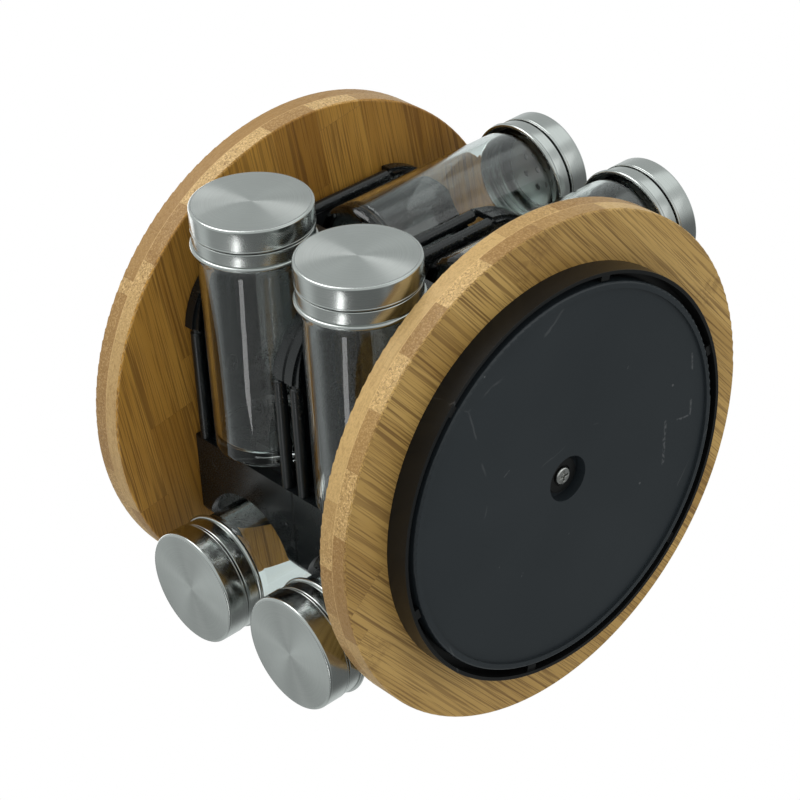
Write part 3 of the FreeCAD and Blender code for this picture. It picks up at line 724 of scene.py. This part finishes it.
@dataclass(frozen=True)
class SoftPolymer:
    """Pale nylon or foam with a fine open skin."""

    name: str
    colour: Colour
    pore_scale: float = 1600.0
    relief: float = 0.1 * MM

    def build(self, effects: Effects) -> bpy.types.Material:
        """Make the material.

        Args:
            effects: The shared node groups; not used.

        Returns:
            The material.
        """
        material, g, shader = start_material(self.name)
        where = object_coordinates(g)
        pores = g.noise(where, scale=self.pore_scale, detail=2.0, roughness=0.6)
        tint = g.blend(g.span(pores, 0.3, 0.7), shaded(self.colour, 0.86), self.colour)
        g.fill(shader, Base_Color=tint, Roughness=g.scaled(pores, 0.15, 0.55), Subsurface_Weight=0.05,
               Normal=g.bump(pores, strength=0.25, distance=self.relief))
        return material


class Finishes:
    """Every finish of the carousel, made once."""

    def __init__(self, effects: Effects) -> None:
        """Make the materials.

        Args:
            effects: The shared node groups.
        """
        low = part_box("bottom_disc")
        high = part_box("top_disc")
        self.bottom_bamboo = Bamboo(
            "bamboo_bottom", grain_angle=math.radians(140.0), base=low[0].z,
            thickness=low[1].z - low[0].z,
            light=(0.67, 0.435, 0.135), dark=(0.44, 0.26, 0.066), fibre=(0.15, 0.07, 0.016),
            edge_light=(0.62, 0.41, 0.155), edge_dark=(0.36, 0.2, 0.055), seed=1.3).build(effects)
        self.top_bamboo = Bamboo(
            "bamboo_top", grain_angle=math.radians(171.0), base=high[0].z,
            thickness=high[1].z - high[0].z,
            light=(0.73, 0.4, 0.075), dark=(0.38, 0.175, 0.022), fibre=(0.12, 0.045, 0.006),
            edge_light=(0.6, 0.4, 0.16), edge_dark=(0.37, 0.21, 0.065), seed=7.9, fibre_strength=0.6,
            knuckle=0.0).build(effects)
        self.steel = SpunSteel().build(effects)
        self.glass_x = ClearGlass("jar_glass_x", stretch=(9.0, 90.0, 90.0)).build(effects)
        self.glass_y = ClearGlass("jar_glass_y", stretch=(90.0, 9.0, 90.0)).build(effects)
        self.frame_black = MouldedBlack("tier_black").build(effects)
        self.ring_black = MouldedBlack(
            "ring_black", colour=(0.006, 0.0065, 0.0065), rubbed=(0.016, 0.017, 0.017), roughness=0.32,
            specular=0.3).build(effects)
        self.base_black = MouldedBlack(
            "base_black", colour=(0.0195, 0.026, 0.0305), rubbed=(0.029, 0.037, 0.042), roughness=0.38,
            specular=0.42, dust=0.25, grain=0.12, scratches=(
                Scratch((0.02178, 0.06272), (0.01523, 0.0634), 0.0006),
                Scratch((0.00253, 0.06263), (-0.00367, 0.06224), 0.0007),
                Scratch((-0.00367, 0.06224), (-0.0025, 0.05537), 0.0006),
                Scratch((-0.0005, 0.0493), (-0.0172, 0.0482), 0.0009),
                Scratch((0.0161, -0.0298), (0.0172, -0.0276)),
                Scratch((-0.0242, -0.0008), (-0.0231, 0.0004)),
                Scratch((0.0309, 0.0297), (0.0318, 0.0303)),
                Scratch((-0.0292, -0.0232), (-0.0283, -0.0226)),
                Scratch((-0.0203, -0.0341), (-0.0197, -0.0335)))).build(effects)
        self.zinc = PlatedMetal("screw_zinc").build(effects)
        self.oxide = PlatedMetal(
            "screw_black", colour=(0.05, 0.05, 0.052), roughness=0.36).build(effects)
        self.ball = PlatedMetal("ball_steel", colour=(0.66, 0.66, 0.67), roughness=0.12).build(effects)
        self.nylon = SoftPolymer("cage_nylon", (0.72, 0.7, 0.64)).build(effects)
        self.foam = SoftPolymer("liner_foam", (0.76, 0.76, 0.74), pore_scale=2400.0).build(effects)


# ---- meshes -----------------------------------------------------------------------------
@dataclass(frozen=True)
class Corner:
    """A corner of a spun outline: distance from the axis, height along it, and its rounding."""

    radius: float
    height: float
    soft: float = 0.0


def outline(corners: Sequence[Corner]) -> bmesh.types.BMesh:
    """Draw a spun piece's outline, with its corners rounded by vertex bevels.

    Args:
        corners: The outline's corners in order.

    Returns:
        A mesh of edges in the XZ plane, with the distance run along them on a vertex layer.
    """
    bm = bmesh.new()
    verts = [bm.verts.new((c.radius, 0.0, c.height)) for c in corners]
    for a, b in zip(verts, verts[1:]):
        bm.edges.new((a, b))
    first = verts[0].co.copy()
    for vert, corner in zip(verts, corners):
        if corner.soft > 0.0:
            bmesh.ops.bevel(bm, geom=[vert], offset=corner.soft, offset_type="OFFSET",
                            segments=ROUNDING_STEPS, profile=0.5, affect="VERTICES", material=-1)
    run = bm.verts.layers.float.new("run")
    bm.verts.ensure_lookup_table()
    here = min(bm.verts, key=lambda v: (v.co - first).length)
    seen = set()
    travelled = 0.0
    while here is not None:
        here[run] = travelled
        seen.add(here)
        ahead = next((v for e in here.link_edges if (v := e.other_vert(here)) not in seen), None)
        if ahead is not None:
            travelled += (ahead.co - here.co).length
        here = ahead
    return bm


def spun_mesh(corners: Sequence[Corner], steps: int) -> bmesh.types.BMesh:
    """Spin an outline round Z.

    Args:
        corners: The outline's corners in order.
        steps: Number of steps in the full turn.

    Returns:
        The surface, with the outline's run on its vertex layer.
    """
    bm = outline(corners)
    bmesh.ops.spin(bm, geom=list(bm.verts) + list(bm.edges), cent=(0, 0, 0), axis=(0, 0, 1), angle=TURN,
                   steps=steps, use_merge=True)
    bmesh.ops.remove_doubles(bm, verts=bm.verts, dist=SEAM)
    return bm


def add_spun_map(bm: bmesh.types.BMesh) -> None:
    """Give each face a UV map: the share of a turn, and the distance run along the outline.

    Args:
        bm: The spun mesh.
    """
    run = bm.verts.layers.float["run"]
    layer = bm.loops.layers.uv.new("spun")
    for face in bm.faces:
        middle = face.calc_center_median()
        centre = math.atan2(middle.y, middle.x)
        for loop in face.loops:
            place = loop.vert.co
            angle = centre
            if math.hypot(place.x, place.y) > TOUCHING:
                angle = math.atan2(place.y, place.x)
                angle -= TURN * round((angle - centre) / TURN)
            loop[layer].uv = (angle / TURN, loop.vert[run])


def add_to_scene(name: str, data: Any) -> bpy.types.Object:
    """Make an object at the origin and add it to the scene.

    Args:
        name: The object's name.
        data: Its mesh, light or camera.

    Returns:
        The object.
    """
    made = bpy.data.objects.new(name, data)
    bpy.context.scene.collection.objects.link(made)
    return made


def smooth_object(bm: bmesh.types.BMesh, name: str, material: bpy.types.Material,
                  sharp: float = 40.0) -> bpy.types.Object:
    """Turn a bmesh into a smooth-shaded object at the origin.

    Args:
        bm: The mesh, which is freed.
        name: The piece's name.
        material: Its finish.
        sharp: Edges bent by more than this, in degrees, stay sharp.

    Returns:
        The object.
    """
    for face in bm.faces:
        face.smooth = True
    mesh = bpy.data.meshes.new(name)
    bm.to_mesh(mesh)
    bm.free()
    mesh.materials.append(material)
    mesh.set_sharp_from_angle(angle=math.radians(sharp))
    return add_to_scene(name, mesh)


def mapped_object(bm: bmesh.types.BMesh, name: str, material: bpy.types.Material, placing: Matrix,
                  sharp: float = 35.0) -> bpy.types.Object:
    """Map a spun mesh, put it in its place and turn its faces outwards.

    Args:
        bm: The spun mesh, which is freed.
        name: The piece's name.
        material: Its finish.
        placing: Where the mesh goes in the row frame.
        sharp: Edges bent by more than this, in degrees, stay sharp.

    Returns:
        The object.
    """
    add_spun_map(bm)
    bmesh.ops.transform(bm, matrix=placing, verts=bm.verts)
    bmesh.ops.recalc_face_normals(bm, faces=bm.faces)
    return smooth_object(bm, name, material, sharp)


def add_softened_edges(piece: bpy.types.Object, width: float, segments: int = 2,
                       angle: float = 35.0) -> None:
    """Round a piece's hard edges a little, and weight its normals by face area.

    Args:
        piece: The object.
        width: The bevel's width in metres.
        segments: Number of facets across it.
        angle: Edges bent by more than this, in degrees, are rounded.
    """
    if width > 0.0:
        bevel = piece.modifiers.new("softened_edges", "BEVEL")
        bevel.width = width
        bevel.segments = segments
        bevel.limit_method = "ANGLE"
        bevel.angle_limit = math.radians(angle)
        bevel.use_clamp_overlap = True
    weighted = piece.modifiers.new("weighted_normals", "WEIGHTED_NORMAL")
    weighted.keep_sharp = True
    weighted.weight = 50


def merged_copy(node: str, name: str, body: str, material: bpy.types.Material,
                soften: float = 0.0) -> bpy.types.Object:
    """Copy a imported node, join its loose triangles and shade it smoothly in the node's place.

    Args:
        node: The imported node.
        name: The piece's name.
        body: The body that it rides on.
        material: Its finish.
        soften: Width of the rounding along hard edges, in metres.

    Returns:
        The piece.
    """
    bm = bmesh.new()
    bm.from_mesh(frame["nodes"][node].data)
    bmesh.ops.remove_doubles(bm, verts=bm.verts, dist=LOOSE)
    bmesh.ops.dissolve_degenerate(bm, edges=bm.edges, dist=TOUCHING)
    bmesh.ops.dissolve_limit(bm, angle_limit=FLAT, use_dissolve_boundaries=False, verts=bm.verts,
                             edges=bm.edges)
    piece = smooth_object(bm, name, material)
    add_softened_edges(piece, soften)
    hand_over(piece, node, body)
    return piece


def hand_over(piece: bpy.types.Object, node: str, body: str) -> None:
    """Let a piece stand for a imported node.

    Args:
        piece: The finished piece.
        node: The node that it stands for.
        body: The body that it rides on.
    """
    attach(piece, body)
    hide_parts(node)
    log.info("%s stands for %s on %s", piece.name, node, body)


def dress_node(node: str, material: bpy.types.Material) -> None:
    """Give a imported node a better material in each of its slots.

    Args:
        node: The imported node.
        material: Its finish.
    """
    packed = frame["nodes"][node]
    if not packed.material_slots:
        packed.data.materials.append(material)
    for slot in packed.material_slots:
        slot.material = material
    log.info("%s keeps its packed shape", node)


# ---- sub-assemblies ---------------------------------------------------------------------
@dataclass
class TurntableBase:
    """Base plate, bearing, pivot and the ring under the bottom disc."""

    edge: float = 0.25 * MM
    fine_edge: float = 0.12 * MM

    def build(self, finishes: Finishes) -> None:
        """Make the pieces.

        Args:
            finishes: The materials.
        """
        black, fine = finishes.ring_black, self.fine_edge
        merged_copy("base_plate", "plate_of_base", "base", finishes.base_black, self.edge)
        merged_copy("pivot_washer", "washer_of_pivot", "base", black, fine)
        merged_copy("turntable_ring", "ring_under_disc", "carousel", black, self.edge)
        merged_copy("pivot_screw", "screw_of_pivot", "carousel", finishes.zinc, fine)
        dress_node("ring_screws", finishes.zinc)
        dress_node("bearing_cage", finishes.nylon)
        dress_node("bearing_balls", finishes.ball)


@dataclass
class BambooDiscs:
    """The bottom and top discs, with the screws between them."""

    def build(self, finishes: Finishes) -> None:
        """Make the pieces.

        Args:
            finishes: The materials.
        """
        merged_copy("bottom_disc", "disc_bottom", "carousel", finishes.bottom_bamboo)
        merged_copy("top_disc", "disc_top", "carousel", finishes.top_bamboo)
        dress_node("tie_screws", finishes.zinc)
        dress_node("top_disc_screws", finishes.oxide)


@dataclass
class TierFrames:
    """Bays, rails and cores of both tiers."""

    edge: float = 0.3 * MM

    def build(self, finishes: Finishes) -> None:
        """Make the pieces.

        Args:
            finishes: The materials.
        """
        black = finishes.frame_black
        for tier in (t.value for t in Tier):
            for side in (s.value for s in Side):
                merged_copy(f"bay_{tier}_{side}", f"hub_{tier}_{side}", "carousel",
                            black, self.edge)
            merged_copy(f"{tier}_rails", f"rods_{tier}", "carousel", black)
            dress_node(f"{tier}_core", black)


@dataclass
class SpiceJar:
    """One glass jar with its sifter, lid and liner.

    Heights run along the jar from its foot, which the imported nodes' boxes place.
    """

    tier: Tier
    side: Side
    steps: int = 96
    wall: float = 1.9 * MM
    glass_base: float = 5.5 * MM
    body_length: float = 79.0 * MM
    shoulder: float = 2.4 * MM
    neck_radius: float = 18.6 * MM
    foot_round: float = 3.0 * MM
    inside_round: float = 2.4 * MM
    hollow: float = 0.8 * MM
    thread_height: float = 0.6 * MM
    thread_width: float = 1.2 * MM
    thread_starts: tuple[float, ...] = (83.2 * MM, 86.6 * MM)
    steel: float = 0.6 * MM
    bead: float = 1.8 * MM
    skirt_length: float = 6.8 * MM
    skirt_radius: float = 21.3 * MM
    top_radius: float = 20.2 * MM
    recess_radius: float = 14.5 * MM
    recess_depth: float = 2.4 * MM
    hole_radius: float = 1.2 * MM
    hole_circle: float = 7.0 * MM
    hole_count: int = 6
    hole_sides: int = 20
    crease: float = 0.12 * MM
    hem: float = 0.55 * MM

    @property
    def key(self) -> str:
        """The jar's part of every node and body name."""
        return f"{self.tier.value}_{self.side.value}"

    def placing(self, node: str) -> tuple[Matrix, float, float]:
        """Where a piece of the jar lies.

        Args:
            node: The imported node.

        Returns:
            The matrix that lays local Z along the jar from the node's inner end, the node's
            length along the jar, and its outer radius.
        """
        low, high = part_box(node)
        middle = (low + high) / 2.0
        way = self.side.direction
        size = high - low
        length = abs(size.dot(way))
        start = middle - way * (length / 2.0)
        turned = way.to_track_quat("Z", "Y").to_matrix().to_4x4()
        return Matrix.Translation(start) @ turned, length, size.z / 2.0

    def glass(self, finishes: Finishes) -> None:
        """Blow the jar: thick base, straight wall, rounded shoulder and threaded neck.

        Args:
            finishes: The materials.
        """
        matrix, length, radius = self.placing(f"jar_{self.key}")
        inner = radius - self.wall
        neck_inner = self.neck_radius - self.wall
        neck_start = self.body_length + self.shoulder
        corners = [Corner(0.0, self.hollow), Corner(radius * 0.42, self.hollow * 0.55, 2.0 * MM),
                   Corner(radius * 0.72, 0.0, 0.9 * MM), Corner(radius, 0.0, self.foot_round),
                   Corner(radius, self.body_length, 1.6 * MM),
                   Corner(self.neck_radius, neck_start, 0.8 * MM)]
        crest = self.neck_radius + self.thread_height
        for low in self.thread_starts:
            corners += [Corner(self.neck_radius, low, 0.2 * MM),
                        Corner(crest, low + self.thread_width / 2.0, 0.3 * MM),
                        Corner(self.neck_radius, low + self.thread_width, 0.2 * MM)]
        corners += [
            Corner(self.neck_radius, length, 0.7 * MM), Corner(neck_inner, length, 0.7 * MM),
            Corner(neck_inner, neck_start + 0.4 * MM, 0.8 * MM),
            Corner(inner, self.body_length, 1.2 * MM),
            Corner(inner, self.glass_base, self.inside_round),
            Corner(radius * 0.4, self.glass_base + 0.5 * MM, 2.5 * MM),
            Corner(0.0, self.glass_base + 0.7 * MM)]
        material = finishes.glass_x if self.side.lies_along_x else finishes.glass_y
        bm = spun_mesh(corners, self.steps)
        piece = mapped_object(bm, f"glass_{self.key}", material, matrix, sharp=50.0)
        hand_over(piece, f"jar_{self.key}", f"jar_body_{self.key}")

    def sifter(self, finishes: Finishes) -> None:
        """Spin the collar with its bead and stepped top, and punch the plate.

        Args:
            finishes: The materials.
        """
        matrix, length, radius = self.placing(f"sifter_{self.key}")
        skirt_inner = self.skirt_radius - self.steel
        top_inner = self.top_radius - self.steel
        plate_top = length - self.recess_depth
        plate_low = plate_top - self.steel
        recess_outer = self.recess_radius + self.steel
        step_low = self.skirt_length - self.steel
        crease = self.skirt_radius - self.crease
        bm = spun_mesh([
            Corner(self.recess_radius, plate_low), Corner(recess_outer, plate_low, 0.3 * MM),
            Corner(recess_outer, length - self.steel, 0.25 * MM),
            Corner(top_inner, length - self.steel, 0.3 * MM), Corner(top_inner, step_low, 0.2 * MM),
            Corner(skirt_inner, step_low, 0.3 * MM), Corner(skirt_inner, 0.5 * MM, 0.2 * MM),
            Corner(skirt_inner + 0.2 * MM, 0.0, 0.2 * MM), Corner(radius, 0.0, 0.85 * MM),
            Corner(radius, self.bead, 0.85 * MM), Corner(crease, self.bead),
            Corner(crease, self.bead + 0.3 * MM), Corner(self.skirt_radius, self.bead + 0.4 * MM),
            Corner(self.skirt_radius, self.skirt_length, 0.5 * MM),
            Corner(self.top_radius, self.skirt_length, 0.15 * MM),
            Corner(self.top_radius, length, 0.5 * MM), Corner(self.recess_radius, length, 0.3 * MM),
            Corner(self.recess_radius, plate_top)], self.steps)
        self.punch_plate(bm, plate_low, plate_top)
        piece = mapped_object(bm, f"collar_{self.key}", finishes.steel, matrix)
        hand_over(piece, f"sifter_{self.key}", f"sifter_body_{self.key}")

    def punch_plate(self, bm: bmesh.types.BMesh, low: float, high: float) -> None:
        """Close the recess with a plate of round holes.

        Args:
            bm: The spun collar, open at the recess.
            low: Height of the plate's underside.
            high: Height of its top.
        """
        run = bm.verts.layers.float["run"]
        rims = [e for e in bm.edges if e.is_boundary]
        rings = {height: [e for e in rims if all(abs(v.co.z - height) < TOUCHING for v in e.verts)]
                 for height in (low, high)}
        angles = [TURN * index / self.hole_count for index in range(self.hole_count)]
        circle = [Vector((math.cos(a), math.sin(a), 0.0)) * self.hole_circle for a in angles]
        spots = [Vector((0.0, 0.0, 0.0)), *circle]
        walls: list[list[bmesh.types.BMEdge]] = [[] for _ in spots]
        for height in (low, high):
            edges = rings[height]
            for spot, wall in zip(spots, walls):
                made = bmesh.ops.create_circle(
                    bm, cap_ends=False, segments=self.hole_sides, radius=self.hole_radius,
                    matrix=Matrix.Translation(spot + Vector((0.0, 0.0, height))))
                loop = list({e for v in made["verts"] for e in v.link_edges})
                edges += loop
                wall += loop
            bmesh.ops.triangle_fill(bm, use_beauty=True, use_dissolve=False, edges=edges,
                                    normal=(0.0, 0.0, 1.0))
        for wall in walls:
            bmesh.ops.bridge_loops(bm, edges=wall)
        for vert in bm.verts:
            reach = math.hypot(vert.co.x, vert.co.y)
            if reach < self.recess_radius - TOUCHING and low - TOUCHING <= vert.co.z <= high + TOUCHING:
                vert[run] = -reach

    def lid(self, finishes: Finishes) -> None:
        """Spin the lid: flat top, rounded edge, straight side and rolled hem.

        Args:
            finishes: The materials.
        """
        matrix, length, radius = self.placing(f"lid_{self.key}")
        inner = radius - self.steel
        crease = radius - self.crease
        bm = spun_mesh([
            Corner(0.0, length - self.steel), Corner(inner, length - self.steel, 0.5 * MM),
            Corner(inner, 0.0, 0.15 * MM), Corner(radius, 0.0, 0.25 * MM),
            Corner(radius, self.hem, 0.1 * MM), Corner(crease, self.hem + 0.12 * MM),
            Corner(crease, self.hem + 0.28 * MM),
            Corner(radius - 0.02 * MM, self.hem + 0.4 * MM), Corner(radius, length, 0.95 * MM),
            Corner(0.0, length - 0.04 * MM)], self.steps)
        run = bm.verts.layers.float["run"]
        edge = max(v[run] for v in bm.verts if math.hypot(v.co.x, v.co.y) > radius * 0.9)
        for vert in bm.verts:
            vert[run] = edge - vert[run]
        piece = mapped_object(bm, f"cap_{self.key}", finishes.steel, matrix)
        hand_over(piece, f"lid_{self.key}", f"lid_body_{self.key}")

    def liner(self, finishes: Finishes) -> None:
        """Spin the soft liner inside the lid.

        Args:
            finishes: The materials.
        """
        matrix, length, radius = self.placing(f"liner_{self.key}")
        corners = [Corner(0.0, 0.0), Corner(radius, 0.0, 0.3 * MM), Corner(radius, length, 0.3 * MM),
                   Corner(0.0, length)]
        piece = mapped_object(spun_mesh(corners, self.steps), f"seal_{self.key}", finishes.foam, matrix)
        hand_over(piece, f"liner_{self.key}", f"lid_body_{self.key}")

    def build(self, finishes: Finishes) -> None:
        """Make the jar's four pieces.

        Args:
            finishes: The materials.
        """
        self.glass(finishes)
        self.sifter(finishes)
        self.lid(finishes)
        self.liner(finishes)


# ---- stage ------------------------------------------------------------------------------
@dataclass(frozen=True)
class Patch:
    """A soft-edged part of the surroundings that metal mirrors.

    Its way has the camera's right, up and backward directions as its parts. Its edge runs from
    start to full, as cosines of the angle from its middle.
    """

    way: tuple[float, float, float]
    start: float
    full: float
    level: float


def turned_to(side: Vector, rise: Vector, back: Vector, place: Vector) -> Matrix:
    """Matrix of an object that looks against back, from a place."""
    turn = Matrix((side, rise, back)).transposed().to_4x4()
    return Matrix.Translation(place) @ turn


@dataclass
class Stage:
    """Floor, soft lights, white surroundings and the camera."""

    eye: tuple[float, float, float] = (0.5133936, -0.5260893, -0.5190437)
    right: tuple[float, float, float] = (-0.0451763, 0.7345821, -0.6770142)
    up: tuple[float, float, float] = (0.8381727, 0.3966028, 0.3743966)
    lens: float = 117.866
    sensor: float = 36.0
    nearest: float = 10.0 * MM
    ambient: float = 0.62
    mirrored: float = 0.77
    mirror_tint: Colour = (0.95, 1.0, 0.99)
    floor_colour: Colour = (0.86, 0.86, 0.85)
    floor_reach: float = 4.0
    aim: tuple[float, float, float] = (0.0, 0.0, 0.07)
    dims: tuple[Patch, ...] = (
        Patch((0.1, -0.9, 0.4), 0.55, 0.9, 0.2), Patch((0.86, -0.47, -0.2), 0.7, 0.95, 0.2),
        Patch((-0.7, -0.7, 0.05), 0.86, 0.97, 0.42), Patch((-0.45, -0.25, -0.85), 0.86, 0.95, 0.35),
        Patch((-0.05, 0.91, -0.41), 0.7, 0.95, 0.64))
    window: Patch = Patch((0.42, 0.87, 0.19), 0.9, 0.96, 1.25)

    def directions(self) -> tuple[Vector, Vector, Vector]:
        """The camera's directions.

        Returns:
            The unit vectors to its right, upwards and backwards.
        """
        right = Vector(self.right)
        up = Vector(self.up)
        return right, up, right.cross(up)

    def facing(self, patch: Patch) -> Vector:
        """Unit vector towards the middle of a patch."""
        parts = zip(self.directions(), patch.way)
        return sum((axis * share for axis, share in parts), Vector()).normalized()

    def build(self) -> None:
        """Set the stage."""
        self.camera()
        self.surroundings()
        self.floor()
        self.lights()
        bpy.context.scene.view_settings.view_transform = "Standard"

    def camera(self) -> None:
        """Stand the camera."""
        right, up, back = self.directions()
        data = bpy.data.cameras.new("viewpoint")
        data.sensor_width = self.sensor
        data.lens = self.lens
        data.clip_start = self.nearest
        made = add_to_scene("viewpoint", data)
        made.matrix_world = turned_to(right, up, back, Vector(self.eye))
        bpy.context.scene.camera = made

    def surroundings(self) -> None:
        """White for what is seen, a soft light for the rest, and a pale, dimmer room in metal."""
        world = bpy.data.worlds.new("surroundings")
        world.use_nodes = True
        bpy.context.scene.world = world
        g = Graph(world.node_tree)
        world.node_tree.nodes.clear()
        path = g.node("ShaderNodeLightPath").outputs
        way = g.node("ShaderNodeTexCoord").outputs["Generated"]
        graded: Any = self.mirrored
        for patch in self.dims:
            towards = g.dot(way, self.facing(patch))
            dim = g.span(towards, patch.start, patch.full, self.mirrored, patch.level)
            graded = g.math("MINIMUM", graded, dim)
        window = self.window
        lit = g.span(g.dot(way, self.facing(window)), window.start, window.full, 0.0, window.level)
        graded = g.larger(graded, lit)
        seen = g.larger(path["Is Camera Ray"],
                        g.larger(path["Is Glossy Ray"], path["Is Transmission Ray"]))
        soft = g.fed("ShaderNodeBackground", (*WHITE, 1.0), self.ambient)
        white = g.fed("ShaderNodeBackground", g.blend(path["Is Glossy Ray"], WHITE, self.mirror_tint),
                      g.mix(path["Is Glossy Ray"], 1.0, graded))
        chosen = g.fed("ShaderNodeMixShader", seen, soft, white)
        g.fill(g.node("ShaderNodeOutputWorld"), Surface=chosen)

    def floor(self) -> None:
        """Pale floor that shows only from above, so that the underside can be seen from below."""
        bm = bmesh.new()
        bmesh.ops.create_grid(bm, x_segments=2, y_segments=2, size=self.floor_reach)
        material, g, shader = start_material("floor_pale")
        speck = g.noise(object_coordinates(g), scale=30.0, detail=2.0)
        colour = g.blend(speck, shaded(self.floor_colour, 0.98), self.floor_colour)
        g.fill(shader, Base_Color=colour, Roughness=0.9)
        underneath = g.node("ShaderNodeNewGeometry").outputs["Backfacing"]
        clear = g.node("ShaderNodeBsdfTransparent").outputs[0]
        chosen = g.fed("ShaderNodeMixShader", underneath, shader.outputs[0], clear)
        g.fill(material.node_tree.nodes["Material Output"], Surface=chosen)
        made = smooth_object(bm, "floor", material)
        made.visible_glossy = False
        made.visible_diffuse = False
        made.visible_shadow = False
        made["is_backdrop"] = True

    def lamp(self, name: str, way: Vector, distance: float, size: tuple[float, float], power: float,
             upwards: Vector) -> None:
        """Hang a rectangular soft light that faces the object.

        Args:
            name: The light's name.
            way: Direction from the object to the light.
            distance: How far it is, in metres.
            size: Its width and height, in metres.
            power: Its power in watts.
            upwards: The direction that its height runs along.
        """
        data = bpy.data.lights.new(name, "AREA")
        data.shape = "RECTANGLE"
        data.size, data.size_y = size
        data.energy = power
        made = add_to_scene(name, data)
        back = way.normalized()
        side = upwards.cross(back).normalized()
        made.matrix_world = turned_to(side, back.cross(side), back, Vector(self.aim) + back * distance)
        made.visible_camera = False

    def lights(self) -> None:
        """Hang the lights."""
        right, up, back = self.directions()
        self.lamp("key", up * 0.8 - right * 0.6 + back * 0.4, distance=1.1, size=(0.7, 0.7), power=5.3,
                  upwards=up)
        self.lamp("high", up * 0.978 - right * 0.187 + back * 0.088, distance=1.1, size=(0.1, 0.3),
                  power=0.25, upwards=back)
        self.lamp("strip", back * 0.372 - right * 0.477 - up * 0.796, distance=1.0, size=(0.12, 0.34),
                  power=0.48, upwards=back)
        self.lamp("fill", right * 0.8 + back * 0.5 + up * 0.2, distance=1.3, size=(0.9, 0.9), power=1.2,
                  upwards=up)
        self.lamp("overhead", Vector((-0.25, 0.2, 1.0)), distance=1.2, size=(0.9, 0.9), power=4.0,
                  upwards=Vector((0.0, 1.0, 0.0)))


def main(packed_box: tuple[Vector, Vector]) -> None:
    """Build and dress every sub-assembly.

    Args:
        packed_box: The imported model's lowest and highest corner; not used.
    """
    effects = Effects()
    finishes = Finishes(effects)
    TurntableBase().build(finishes)
    BambooDiscs().build(finishes)
    TierFrames().build(finishes)
    for tier in Tier:
        for side in Side:
            SpiceJar(tier, side).build(finishes)
    Stage().build()


if __name__ == "__main__":
    logging.basicConfig(level=logging.INFO)
    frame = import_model()
    main(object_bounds())
